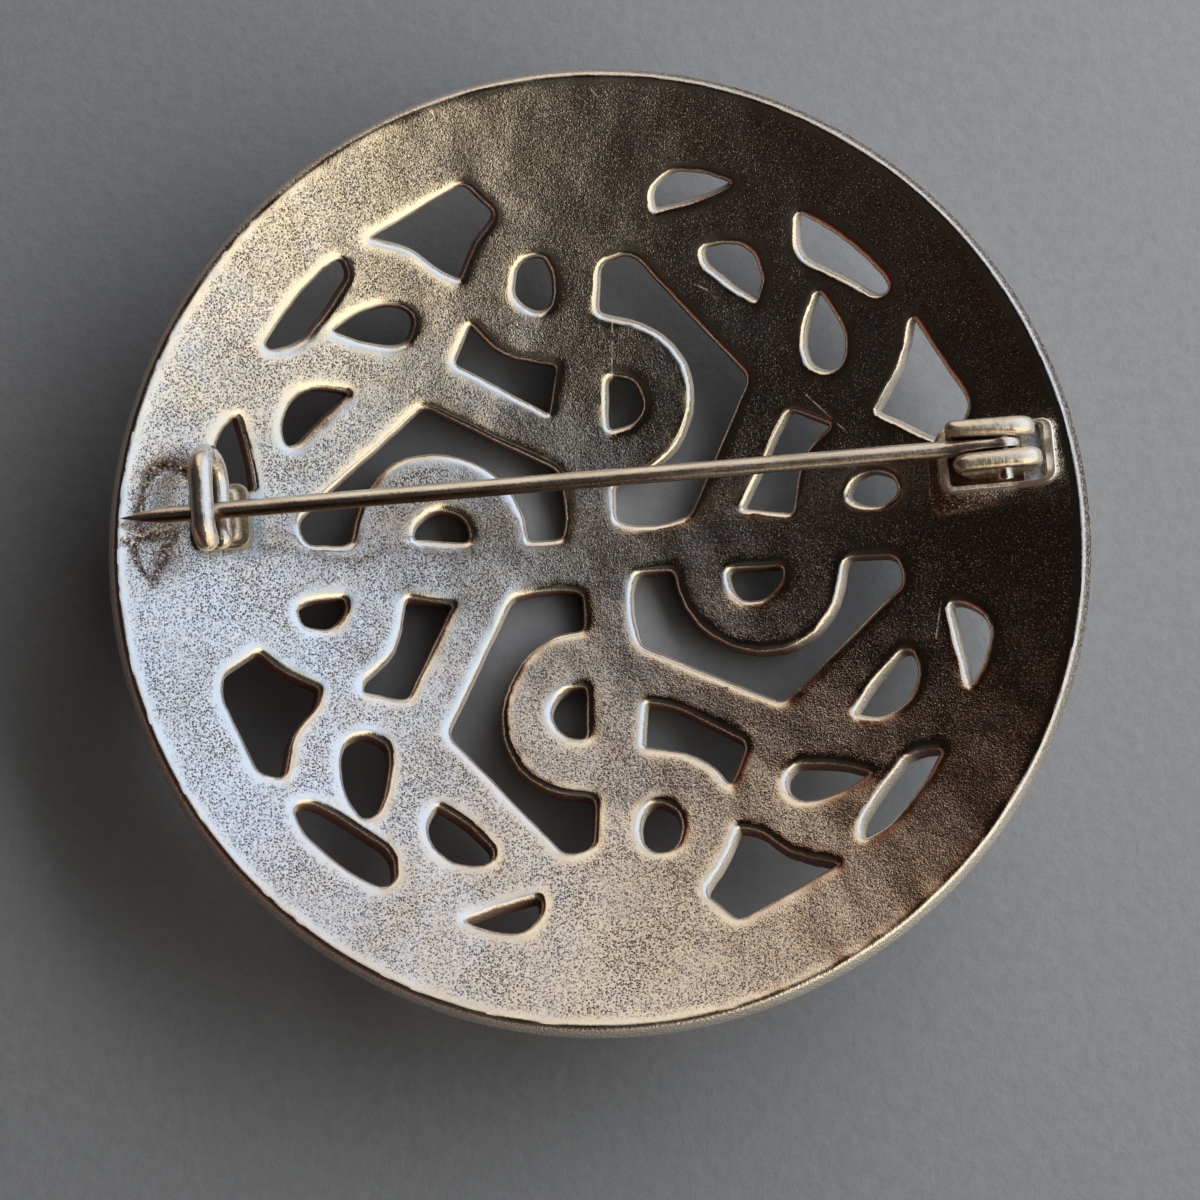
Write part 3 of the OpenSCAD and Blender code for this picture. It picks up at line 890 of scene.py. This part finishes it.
class BROOCH_OT_plate(bpy.types.Operator):
    """Cast the domed plate with its thirty-six openings"""

    bl_idname = "brooch.plate"
    bl_label = "Pierced plate"
    bl_options = {"REGISTER", "UNDO"}

    def execute(self, context):
        plate, hinge, silver = asked(context, "plate", "hinge", "silver")
        rim = plate.hollow_radius / MM * plate.diameter / 2 / (plate.hollow_radius + plate.wall)
        outlines = [circle(rim, 200)]
        for quarter in range(4):
            turn = plate.turn - quarter * math.pi / 2
            for tables in OPENINGS.values():
                outlines.append(turned(eased_outline(tables[quarter], 4), turn))
        piece = sawn_sheet(
            "pierced_plate", outlines, plate.wall / MM, plate.edge / MM, rounding=2
        )
        edit(piece, lambda place, normal: abs(normal.z) > 0.99)
        bpy.ops.mesh.beautify_fill(angle_limit=0.1)
        cut_grid(piece, plate.grid / MM)
        edit(piece, lambda place, normal: normal.z > 0.99)
        bpy.ops.mesh.quads_convert_to_tris()
        bpy.ops.mesh.subdivide()
        bpy.ops.object.mode_set(mode="OBJECT")
        # Finer faces where the plate rises to the seat, and round the catch
        low, high = seat_corners(hinge)
        refine(piece, (low.x - 1.5, low.y - 1.5), (high.x + 0.8, high.y), 2)
        refine(piece, *CATCH_CORNERS, 2)
        seat = Mound(
            low + Vector((0.2, 0.2)), high - Vector((0.2, 0.95)), hinge.seat_height / MM - 0.4,
            rise=0.05, left=0.6, right=0.95, near=1.35, far=0.5,
        )
        solder = Mound(*SOLDER_CORNERS, 0, rise=0, left=0.7, right=1.2, near=1.0, far=0.7, halo=1)
        self.bend(piece, plate, outlines, (seat, solder))
        self.sink_tray(piece, hinge)
        materials = [cast_silver(silver), smooth_silver("front_silver", silver)]
        to_metres(piece, materials, "brooch", "shield", sharp=60)
        return {"FINISHED"}

    def sink_tray(self, piece, hinge):
        """Keep the plate's back under the floor of the hinge's tray."""
        low, high = seat_corners(hinge)
        inside = 0.6 * hinge.seat_lip / MM
        floor = (hinge.seat_height - hinge.seat_floor) / MM - 0.06
        for vertex in piece.data.vertices:
            x, y, z = vertex.co
            if low.x + inside < x < high.x - inside and low.y + inside < y < high.y - inside:
                vertex.co.z = min(z, floor)

    def scarred(self, x, y):
        """How deep in a solder scar this place is, from 0 to 1."""
        low, high = SCAR_CORNERS
        if not (low[0] < x < high[0] and low[1] < y < high[1]):
            return 0
        deepest = 0
        place = Vector((x, y))
        ragged = 1 + 0.6 * noise.noise(Vector((x, y, 2)) / 0.9)
        for line, half, strength in SCARS:
            for a, b in zip(line, line[1:]):
                a, b = Vector(a), Vector(b)
                along = held((place - a).dot(b - a) / (b - a).length_squared)
                away = (place - a.lerp(b, along)).length / (half * ragged)
                deepest = max(deepest, strength * (1 - away * away))
        return deepest

    def edge_points(self, outlines, step=0.12):
        """A search tree of close points along all outlines."""
        places = []
        for outline in outlines:
            for p, q in zip(outline, outline[1:] + outline[:1]):
                count = max(1, round((q - p).length / step))
                places += [p.lerp(q, i / count) for i in range(count)]
        found = kdtree.KDTree(len(places))
        for i, place in enumerate(places):
            found.insert((place.x, place.y, 0), i)
        found.balance()
        return found

    def bend(self, piece, plate, outlines, mounds):
        """Bend the flat sheet to the dome, uneven as a casting is on its back."""
        hollow, wall, edge = plate.hollow_radius / MM, plate.wall / MM, plate.edge / MM
        centre_z = dome_centre(plate)
        edges = self.edge_points(outlines)
        rim = plate.diameter / MM / 2
        mesh = piece.data
        outward = [v.normal.xy for v in mesh.vertices]
        for name in COATS:
            mesh.attributes.new(name, "FLOAT", "POINT")
        worn, walls, scar, dim, coarse, halo = (mesh.attributes[name].data for name in COATS)
        sunny = Vector((1, 0)) @ Matrix.Rotation(-math.radians(SUNNY) - plate.turn, 2)
        noise.seed_set(SEED)
        for face in mesh.polygons:
            face.material_index = 1 if face.center.z < -wall / 2 + 0.5 * edge else 0
        for i, vertex in enumerate(mesh.vertices):
            x, y, z = vertex.co
            _, _, distance = edges.find((x, y, 0))
            # The walls of the openings lean inwards towards the front
            if outward[i].length > 0.3 and math.hypot(x, y) < rim - 2:
                lean = plate.draft / wall * (wall / 2 - z) / MM
                x, y = Vector((x, y)) + outward[i].normalized() * lean
            # Their edges wander, and each has a worn border
            inner = held(rim - math.hypot(x, y) - 1)
            wander = noise.noise_vector(Vector((x, y, 17)) / 0.8).xy * plate.wobble / MM
            x, y = x + wander.x * inner, y + wander.y * inner
            ragged = 1 + 0.45 * noise.noise(Vector((x, y, 5)) / 0.9)
            border = max(0, 1 - max(0, distance - edge) / (plate.worn / MM * ragged))
            worn[i].value = border * border * (3 - 2 * border)
            # Below the back there are walls, with shade painted on them by the side that they
            # face, and the rim darker on its side towards the window
            off_back = wall / 2 - z
            wall_share, rim_dark_towards_window = held(off_back / edge - 0.1), 0
            facing = outward[i].normalized().dot(sunny) if outward[i].length > 0.1 else 1
            if inner:
                walls[i].value = wall_share
                # Painted red-brown shade on the walls turned from the window
                dim[i].value = wall_share * held(0.35 - 1.6 * facing)
            else:
                walls[i].value = 0.3 * wall_share
                # The rim is darker on its face where it turns towards the window
                rim_dark_towards_window = wall_share * held(2 * facing - 0.6)
            # The back is uneven, and rises to the mounds
            waves = two_waves(x, y, (3, 3.1), (9, 1.4))
            share = max(0, 1 - off_back / wall * 2)
            depth = off_back + share * (waves * plate.waves + border**2 * plate.fall) / MM
            down = math.sqrt(hollow**2 - x * x - y * y)
            reach = (hollow + depth) / hollow
            z = max(0, centre_z - down * reach)
            grit = wall_share
            for mound in mounds:
                top, slope, ring = mound.height(x, y, z)
                z += share * (top - z)
                grit = max(grit, share * slope)
                halo[i].value = share * ring
            coarse[i].value = grit
            deep = share * self.scarred(x, y)
            # The scar coat holds the solder scars, the steep sides of the mounds, and the darker
            # rim
            scar[i].value = max(deep, grit - wall_share, rim_dark_towards_window)
            z -= deep * (0.04 + 0.08 * two_waves(x, y, (8, 0.55), (4, 0.24)))
            vertex.co = (x * reach, y * reach, z)


def seat_corners(hinge):
    """Two corners of the seat's top, in millimetres."""
    right, near = PIVOT.x + 2.95, PIVOT.y - 1.95
    return (
        Vector((right - hinge.seat_length / MM, near)),
        Vector((right, near + hinge.seat_width / MM)),
    )


class BROOCH_OT_hinge_seat(bpy.types.Operator):
    """Build the seat of the hinge: a tray with sloping sides let into the plate"""

    bl_idname = "brooch.hinge_seat"
    bl_label = "Hinge seat"
    bl_options = {"REGISTER", "UNDO"}

    def execute(self, context):
        plate, hinge, silver = asked(context, "plate", "hinge", "silver")
        low, high = seat_corners(hinge)
        top, slope, lip = hinge.seat_height / MM, hinge.seat_slope / MM, hinge.seat_lip / MM
        foot = hollow_height(plate, low.x, 0) - ROOT
        piece = block("hinge_seat", low, high, 0.7, foot, top, 0.16)
        cut_grid(piece, 0.3)
        for vertex in piece.data.vertices:
            x, y, z = vertex.co
            down = (top - z) / (top - foot)
            rise = max(0, hollow_height(plate, x, y) + hinge.rise / MM - top)
            vertex.co.z += rise * held((z - top + 0.6) / 0.25)
            vertex.co.y -= slope * down * (y < PIVOT.y)
        inset = Vector((lip, 0.45 * lip))
        floor = top - hinge.seat_floor / MM
        tray = block("tray", low + inset, high - inset, 0.3, floor, top + 2, 0.04)
        cut_grid(tray, 0.3)
        cut_away(piece, tray)
        soften(piece, 0.1, limit=50)
        roughen(piece, 0.03, 0.8, seed=4)
        let_into_plate(piece, plate)
        # The tray's floor is split in two: painted red-brown reflection and shade on the left and
        # under the cheeks, painted blue-grey reflection on the right
        for face in piece.data.polygons:
            x, y, z = face.center
            if (face.normal.z > 0.5 and z < top - 0.1 and low.x + 0.3 < x < high.x - 0.3
                    and low.y < y < high.y):
                face.material_index = 1 if x < PIVOT.x + 1.3 else 2
        names = ("seat_silver", "tray_painted_brown_reflection", "tray_painted_blue_reflection")
        materials = [smooth_silver(name, silver) for name in names]
        to_metres(piece, materials, "brooch", "shield", sharp=60)
        return {"FINISHED"}


class BROOCH_OT_hinge_cheeks(bpy.types.Operator):
    """Build the two rounded cheeks that hold the rivet"""

    bl_idname = "brooch.hinge_cheeks"
    bl_label = "Hinge cheeks"
    bl_options = {"REGISTER", "UNDO"}

    def execute(self, context):
        hinge, silver = asked(context, "hinge", "silver")
        foot = (hinge.seat_height - hinge.seat_floor) / MM - 0.2 - PIVOT.z
        top = 1.15
        thick = hinge.cheek / MM
        material = smooth_silver("cheek_silver", silver)
        # Each cheek's side of the pin, and its ends along it, from the rivet
        cheeks = ((1, "far_cheek", -3.1, 1.87), (-1, "near_cheek", -2.84, 2.1))
        for side, name, left, right in cheeks:
            outline = eased_outline([
                (left + 1.0, foot, 0.05), (right, foot, 0.05), (right, top, 1.3),
                (left, top, 0.8), (left, 0.15, 0.8),
            ])
            piece = sawn_sheet(name, [outline], thick, 0.45, rounding=6)
            middle = PIVOT + Vector((0, side * (hinge.gap / MM + thick) / 2, 0))
            lay(piece, UPRIGHT, Matrix.Translation(middle))
            self.open_mouth(piece, hinge, side)
            cut_away(piece, rod("rivet_hole", hinge.rivet / MM / 2 + 0.01, 3 * thick, middle))
            roughen(piece, 0.05, 1.3, seed=side)
            to_metres(piece, [material], "brooch", "shield", sharp=50)
        return {"FINISHED"}

    def open_mouth(self, piece, hinge, side):
        """Widen the gap between the cheeks towards the side where the wire comes in."""
        extra = (hinge.mouth - hinge.gap) / MM / 2
        middle = (hinge.gap + hinge.cheek) / MM / 2
        for vertex in piece.data.vertices:
            along = held((PIVOT.x - 0.9 - vertex.co.x) / 2.0)
            across = abs(vertex.co.y - PIVOT.y)
            if across < middle:
                vertex.co.y += side * extra * along * min(1, (middle - across) * 4)


class BROOCH_OT_rivet(bpy.types.Operator):
    """Set the rivet through the cheeks, its ends hammered a little round"""

    bl_idname = "brooch.rivet"
    bl_label = "Rivet"
    bl_options = {"REGISTER", "UNDO"}

    def execute(self, context):
        hinge, silver = asked(context, "hinge", "silver")
        radius = hinge.rivet / MM / 2
        long = (RIVET_HIGH.y - RIVET_LOW.y) / MM
        piece = rod("rivet", radius, long)
        edit(piece, lambda place, normal: abs(normal.y) > 0.9)
        bpy.ops.mesh.inset(thickness=radius * 0.45, depth=0.0)
        bpy.ops.object.mode_set(mode="OBJECT")
        for vertex in piece.data.vertices:
            if (vertex.co - PIVOT).xz.length > 0.9 * radius:
                vertex.co.y -= math.copysign(0.12, vertex.co.y - PIVOT.y)
            if vertex.co.y > PIVOT.y + long / 2 - 0.3:
                vertex.co.y = PIVOT.y + (hinge.gap / 2 + hinge.cheek) / MM
            if vertex.co.y < PIVOT.y - long / 2 + 0.3:
                vertex.co.x += 0.25 * (vertex.co.x - PIVOT.x)
                vertex.co.z += 0.25 * (vertex.co.z - PIVOT.z)
                vertex.co.y -= 0.15
        soften(piece, 0.09, limit=20)
        material = smooth_silver("rivet_silver", silver)
        to_metres(piece, [material], "brooch", "hinge_rivet")
        return {"FINISHED"}


class BROOCH_OT_catch_plate(bpy.types.Operator):
    """Solder the catch's plate and its foot block to the hollow"""

    bl_idname = "brooch.catch_plate"
    bl_label = "Catch plate"
    bl_options = {"REGISTER", "UNDO"}

    def execute(self, context):
        plate, catch, silver = asked(context, "plate", "catch", "silver")
        foot = hollow_height(plate, -18.9, 1.4) - ROOT
        # Name, two corners, top, and rounding of the corners and of the edges
        blocks = (
            ("catch_plate", (-22.1, 1.4), (-18.9, 5.0), catch.plate_z / MM, 0.8, 0.12),
            ("catch_foot", (-20.45, 1.7), (-19.4, 4.7), catch.foot_z / MM, 0.5, 0.35),
        )
        for name, low, high, top, ease, edge in blocks:
            material = smooth_silver(f"{name}_silver", silver)
            piece = block(name, Vector(low), Vector(high), ease, foot, top, edge, rounding=4)
            cut_grid(piece, 0.3)
            roughen(piece, 0.04, 0.7, seed=len(name))
            let_into_plate(piece, plate)
            to_metres(piece, [material], "brooch", "shield", sharp=60)
        return {"FINISHED"}


class BROOCH_OT_catch_hook(bpy.types.Operator):
    """Bend the C hook of the catch from round wire"""

    bl_idname = "brooch.catch_hook"
    bl_label = "Catch hook"
    bl_options = {"REGISTER", "UNDO"}

    def execute(self, context):
        catch, pin, silver = asked(context, "catch", "pin", "silver")
        radius = catch.hook / MM / 2
        upper_z = PIVOT.z + pin.wire / MM / 2 + 0.03 + radius
        lower_z = catch.plate_z / MM + 0.4
        bend = (upper_z - lower_z) / 2 / math.cos(catch.lean)
        lower_x = catch.hook_x / MM + 2 * bend * math.sin(catch.lean)
        # Across the pin: where the lower strand starts, the bend begins, and the tip curls down
        start_y, bend_y, tip_y, curl = 1.9, 4.8, 2.35, 1.1
        flat = [Vector((start_y + (bend_y - start_y) * i / 8, 0)) for i in range(8)]
        for i in range(25):
            turn = math.pi * (i / 24 - 0.5)
            flat.append(Vector((bend_y + bend * math.cos(turn), bend + bend * math.sin(turn))))
        flat += [Vector((bend_y - (bend_y - tip_y) * i / 8, 2 * bend)) for i in range(1, 9)]
        for i in range(1, 13):
            turn = math.pi / 2 + math.radians(58) * i / 12
            down = curl * math.sin(turn) - curl
            flat.append(Vector((tip_y + curl * math.cos(turn), 2 * bend + down)))
        radii = [radius] * len(flat)
        start, end = (flat[0] - flat[1]).normalized(), (flat[-1] - flat[-2]).normalized()
        for i in range(1, 7):
            turn = math.pi / 2 * i / 6
            flat.insert(0, Vector((start_y, 0)) + start * radius * math.sin(turn))
            flat.append(flat[-i] + end * radius * math.sin(turn))
            radii.insert(0, radius * max(0.02, math.cos(turn)))
            radii.append(radius * max(0.02, math.cos(turn)))
        path = [
            (lower_x - p.y * math.sin(catch.lean), p.x, lower_z + p.y * math.cos(catch.lean))
            for p in flat
        ]
        piece = bent_wire("catch_hook", path, radii, sides=24)
        for vertex in piece.data.vertices:
            upper = held((vertex.co.z - upper_z + 1.3 * radius) / 0.4)
            vertex.co.x += 0.16 * upper * (vertex.co.x - catch.hook_x / MM)
        roughen(piece, 0.04, 0.9, seed=7)
        material = smooth_silver("hook_silver", silver)
        to_metres(piece, [material], "brooch", "shield", sharp=60)
        return {"FINISHED"}


class BROOCH_OT_pin(bpy.types.Operator):
    """Draw the pin wire out from its eye to its sharpened point"""

    bl_idname = "brooch.pin"
    bl_label = "Pin wire"
    bl_options = {"REGISTER", "UNDO"}

    def execute(self, context):
        pin, hinge, silver = asked(context, "pin", "hinge", "silver")
        radius, tongue = pin.wire / MM / 2, pin.tongue / MM
        point = PIN_LOW.x / MM
        shoulder = point + pin.point / MM
        # Stations from the hinge to the point: x, half width across, half height
        stations = [
            (PIVOT.x + along, tongue / 2 + more, high) for along, more, high in (
                (0.9, -0.08, 0.45), (0.65, 0.01, 0.74), (0, 0.03, 0.93), (-1.0, 0.05, 0.87),
                (-1.75, 0.11, 0.75), (-2.6, 0.19, 0.58),
            )
        ]
        wire_start = PIVOT.x - 3.6
        stations.append((PIVOT.x - 3.3, radius, radius))
        stations += [(wire_start - 3.6 * i, radius, radius) for i in range(11)]
        stations += [
            (x, half, half) for x, half in (
                (shoulder + 0.3, radius - 0.01), (shoulder, radius - 0.02), (shoulder - 0.9, 0.41),
                (shoulder - 1.8, 0.27), (point + 0.3, 0.09), (point + 0.02, 0.02),
            )
        ]
        piece = self.draw_out(stations)
        for vertex in piece.data.vertices:
            place = vertex.co - PIVOT
            _, across, high = min(stations, key=lambda s: abs(s[0] - vertex.co.x))
            power = 1 - 0.5 * held(1.6 - 1.6 * across / high)
            for axis, half in ((1, across), (2, high)):
                share = min(1, abs(place[axis]) / half)
                vertex.co[axis] = PIVOT[axis] + math.copysign(half * share**power, place[axis])
        hole = hinge.rivet / MM / 2 + 0.04
        rings = [circle(pin.eye / MM, 40), circle(hole, 32)]
        eye = sawn_sheet("pin_eye", rings, tongue, 0.07, rounding=2)
        lay(eye, UPRIGHT, Matrix.Translation(PIVOT))
        cut_away(piece, eye, "UNION")
        cut_away(piece, rod("rivet_hole", hole, 2))
        material = self.wire_silver(silver)
        to_metres(piece, [material], "pin", "pin_stem", sharp=50)
        return {"FINISHED"}

    def draw_out(self, stations):
        """Extrude a round end from station to station, each with its own width and height."""
        x, across, high = stations[0]
        work_on(None)
        bpy.ops.mesh.primitive_circle_add(
            vertices=24, radius=1, fill_type="NGON", location=(x, PIVOT.y, PIVOT.z),
            rotation=(0, -math.pi / 2, 0),
        )
        piece = new_piece("pin_wire")
        edit(piece)
        middle = (x, PIVOT.y, PIVOT.z)
        bpy.ops.transform.resize(value=(1, across, high), center_override=middle)
        for next_x, next_across, next_high in stations[1:]:
            bpy.ops.mesh.extrude_region_move(TRANSFORM_OT_translate={"value": (next_x - x, 0, 0)})
            bpy.ops.transform.resize(
                value=(1, next_across / across, next_high / high),
                center_override=(next_x, PIVOT.y, PIVOT.z),
            )
            x, across, high = next_x, next_across, next_high
        bpy.ops.mesh.select_all(action="SELECT")
        bpy.ops.mesh.normals_make_consistent(inside=False)
        bpy.ops.object.mode_set(mode="OBJECT")
        return piece

    def wire_silver(self, silver):
        """Drawn wire: marks along it, and brown tarnish in long streaks."""
        material, tree, shader, place = fresh_material("wire_silver")
        along = wire_up(
            tree, "ShaderNodeMapping", {"Vector": place, "Scale": (0.12, 1, 1)}
        ).outputs["Vector"]
        streaks = mottle(tree, along, 0.0002)
        stains = mottle(tree, along, 0.0009, detail=4, low=0.45, high=0.7)
        # Painted brown shade on its near side, from the point to about the middle
        axes = wire_up(tree, "ShaderNodeSeparateXYZ", {"Vector": place}).outputs
        middle = PIVOT.y * MM
        near = ranged(tree, axes["Y"], middle + 0.00003, middle - 0.00025)
        left = ranged(tree, axes["X"], 0.014, -0.006)
        finish_material(
            tree, shader,
            Base_Color=layered(tree, silver.wire, (
                (stains, 0.55, silver.tarnish),
                # Painted brown shade on the near side
                (times(tree, near, left), 0.9, (0.13, 0.075, 0.05)),
            )),
            Metallic=0.93,
            Roughness=ranged(tree, streaks, 0.0, 1.0, 0.17, 0.3),
            Normal=bumps(tree, (
                (streaks, 0.000003, 1.0), (mottle(tree, place, 0.0002), 0.000003, 1.0),
            )),
        )
        return material


class BROOCH_OT_stage(bpy.types.Operator):
    """Set the pale floor, the soft lights and the camera"""

    bl_idname = "brooch.stage"
    bl_label = "Stage"
    bl_options = {"REGISTER", "UNDO"}

    def execute(self, context):
        plate, stage = asked(context, "plate", "stage")
        self.lay_floor(stage)
        self.light_room(context.scene, stage, plate)
        self.hang_lamp(stage, plate)
        self.set_camera(context.scene, stage, plate)
        context.scene.view_settings.view_transform = "Standard"
        context.scene.view_settings.look = "High Contrast"
        return {"FINISHED"}

    def lay_floor(self, stage):
        """A wide sheet of pale grey paper."""
        work_on(None)
        bpy.ops.mesh.primitive_plane_add(size=3)
        floor = new_piece("floor")
        material, tree, shader, place = fresh_material("paper")
        fibres = mottle(tree, place, 0.0009, detail=5, roughness=0.7, low=0.2, high=0.8)
        darker = tuple(c * 0.9 for c in stage.paper)
        finish_material(
            tree, shader, Base_Color=blend_colours(tree, fibres, darker, stage.paper), Metallic=0,
            Roughness=0.8, Normal=bumps(tree, ((fibres, 0.00003, 0.6),)),
        )
        floor.data.materials.append(material)

    def light_room(self, scene, stage, plate):
        """A soft room: a wide window on one side, and dim walls on the other."""
        world = bpy.data.worlds.new("soft_room")
        scene.world = world
        world.use_nodes = True
        tree = world.node_tree
        seen = wire_up(tree, "ShaderNodeTexCoord").outputs["Generated"]
        turned_to = wire_up(
            tree, "ShaderNodeMapping", {"Vector": seen, "Rotation": (0, 0, -plate.turn)}
        )
        axes = wire_up(tree, "ShaderNodeSeparateXYZ", {"Vector": turned_to.outputs["Vector"]})
        azimuth = sum_up(tree, "ARCTAN2", axes.outputs["Y"], axes.outputs["X"])
        height = sum_up(tree, "ARCSINE", axes.outputs["Z"])
        foot, head = (math.radians(degrees) for degrees in NARROWING_HEIGHTS)
        narrower = ranged(tree, height, foot, head, 1.0, 1.0 + NARROWING)
        middle = math.radians(WINDOW_MIDDLE)
        across = raised(tree, sum_up(tree, "SUBTRACT", azimuth, middle), narrower, middle)

        def vectors(operation, *values, **more):
            return wire_up(
                tree, "ShaderNodeVectorMath", {**dict(enumerate(values)), **more},
                operation=operation,
            ).outputs["Vector"]

        lit = vectors(
            "MULTIPLY", self.ramp(tree, across, -180, 180, WINDOW),
            self.ramp(tree, height, 0, 90, WINDOW_HEIGHTS),
        )
        lit = vectors("ADD", vectors("SCALE", lit, Scale=stage.window), tuple(stage.dusk))
        for tints, heights in ((GLOW, GLOW_HEIGHTS), (HAZE, HAZE_HEIGHTS), (LOW, LOW_HEIGHTS)):
            around = self.ramp(tree, azimuth, -180, 180, tints)
            lit = vectors("MULTIPLY_ADD", around, self.ramp(tree, height, 0, 90, heights), lit)
        lighting = tree.nodes["Background"]
        tree.links.new(lit, lighting.inputs["Color"])
        # The camera itself sees a plain wall, of about the floor's colour
        wall = wire_up(tree, "ShaderNodeBackground", {"Color": (*stage.wall, 1)})
        path = wire_up(tree, "ShaderNodeLightPath").outputs
        dimmed = ranged(tree, path["Is Diffuse Ray"], 0.0, 1.0, 1.0, stage.fill)
        tree.links.new(dimmed, lighting.inputs["Strength"])
        shown = wire_up(
            tree, "ShaderNodeMixShader",
            {0: path["Is Camera Ray"], 1: lighting.outputs[0], 2: wall.outputs[0]},
        )
        tree.links.new(shown.outputs[0], tree.nodes["World Output"].inputs["Surface"])

    def hang_lamp(self, stage, plate):
        """A low soft light on the bright side, near enough to fade across the floor."""
        azimuth, elevation = math.radians(LAMP_AZIMUTH) + plate.turn, math.radians(LAMP_HEIGHT)
        toward = Vector((
            math.cos(elevation) * math.cos(azimuth),
            math.cos(elevation) * math.sin(azimuth),
            math.sin(elevation),
        ))
        work_on(None)
        bpy.ops.object.light_add(
            type="AREA", location=toward * LAMP_DISTANCE,
            rotation=toward.to_track_quat("Z", "Y").to_euler(),
        )
        lamp = bpy.context.object
        lamp.name = "low_window"
        lamp.data.shape = "RECTANGLE"
        lamp.data.size, lamp.data.size_y = LAMP_SIZE
        lamp.visible_camera = False
        lamp.visible_glossy = False
        lamp.data.energy = stage.lamp
        lamp.data.color = (1.0, 0.97, 0.92)

    def ramp(self, tree, value, low, high, stops):
        """Colours or shares along an angle between low and high, in degrees."""
        share = ranged(tree, value, math.radians(low), math.radians(high))
        ramp = wire_up(tree, "ShaderNodeValToRGB", {"Fac": share})
        elements = ramp.color_ramp.elements
        while len(elements) > 1:
            elements.remove(elements[-1])
        stops = [(at, (*tint, 1) if isinstance(tint, tuple) else (tint,) * 3 + (1,))
                 for at, tint in stops]
        elements[0].position = 0
        elements[0].color = stops[0][1]
        for at, tint in stops:
            elements.new((at - low) / (high - low)).color = tint
        return ramp.outputs["Color"]

    def set_camera(self, scene, stage, plate):
        """A camera at the photograph's angle, over the near side and a little to the right."""
        tilt, side = stage.tilt, stage.side
        back = Vector((
            math.sin(side), -math.cos(side) * math.sin(tilt), math.cos(side) * math.cos(tilt)
        ))
        up = Vector((0, math.cos(tilt), math.sin(tilt)))
        right = up.cross(back)
        turn = Matrix.Rotation(plate.turn, 3, "Z")
        basis = turn @ Matrix((right, up, back)).transposed()
        hollow_middle = Vector((0, 0, hollow_height(plate, 0, 0) * MM))
        work_on(None)
        bpy.ops.object.camera_add()
        camera = bpy.context.object
        camera.name = "camera"
        camera.matrix_world = Matrix.Translation(
            hollow_middle + basis @ Vector((0, 0, stage.distance))
        ) @ basis.to_4x4()
        camera.data.sensor_width = 36
        camera.data.lens = stage.lens
        camera.data.shift_y = stage.shift
        camera.data.clip_start = 0.01
        scene.camera = camera


class BROOCH_PT_panel(bpy.types.Panel):
    """The brooch's pieces, in the order they are made"""

    bl_idname = "BROOCH_PT_panel"
    bl_label = "Shield brooch"
    bl_space_type = "VIEW_3D"
    bl_region_type = "UI"
    bl_category = "Brooch"

    def draw(self, context):
        layout = self.layout
        for maker, settings in PIECES:
            layout.operator(maker.bl_idname)
            if settings:
                group = getattr(context.scene, settings)
                box = layout.box()
                for key in group.bl_rna.properties.keys():
                    if key not in ("rna_type", "name"):
                        box.prop(group, key)


SETTINGS = {
    "brooch_plate": PlateSettings,
    "brooch_hinge": HingeSettings,
    "brooch_catch": CatchSettings,
    "brooch_pin": PinSettings,
    "brooch_silver": SilverSettings,
    "brooch_stage": StageSettings,
}
PIECES = (
    (BROOCH_OT_plate, "brooch_plate"),
    (BROOCH_OT_hinge_seat, "brooch_hinge"),
    (BROOCH_OT_hinge_cheeks, None),
    (BROOCH_OT_rivet, None),
    (BROOCH_OT_catch_plate, "brooch_catch"),
    (BROOCH_OT_catch_hook, None),
    (BROOCH_OT_pin, "brooch_pin"),
    (BROOCH_OT_stage, "brooch_stage"),
)
CLASSES = (*SETTINGS.values(), *(maker for maker, _ in PIECES), BROOCH_PT_panel)


def register():
    for made in CLASSES:
        bpy.utils.register_class(made)
    for name, group in SETTINGS.items():
        setattr(bpy.types.Scene, name, bpy.props.PointerProperty(type=group))


def unregister():
    for name in SETTINGS:
        delattr(bpy.types.Scene, name)
    for made in reversed(CLASSES):
        bpy.utils.unregister_class(made)


def main():
    register()
    bpy.ops.brooch.plate()
    bpy.ops.brooch.hinge_seat()
    bpy.ops.brooch.hinge_cheeks()
    bpy.ops.brooch.rivet()
    bpy.ops.brooch.catch_plate()
    bpy.ops.brooch.catch_hook()
    bpy.ops.brooch.pin()
    bpy.ops.brooch.stage()
    work_on(None)


if __name__ == "__main__":
    main()
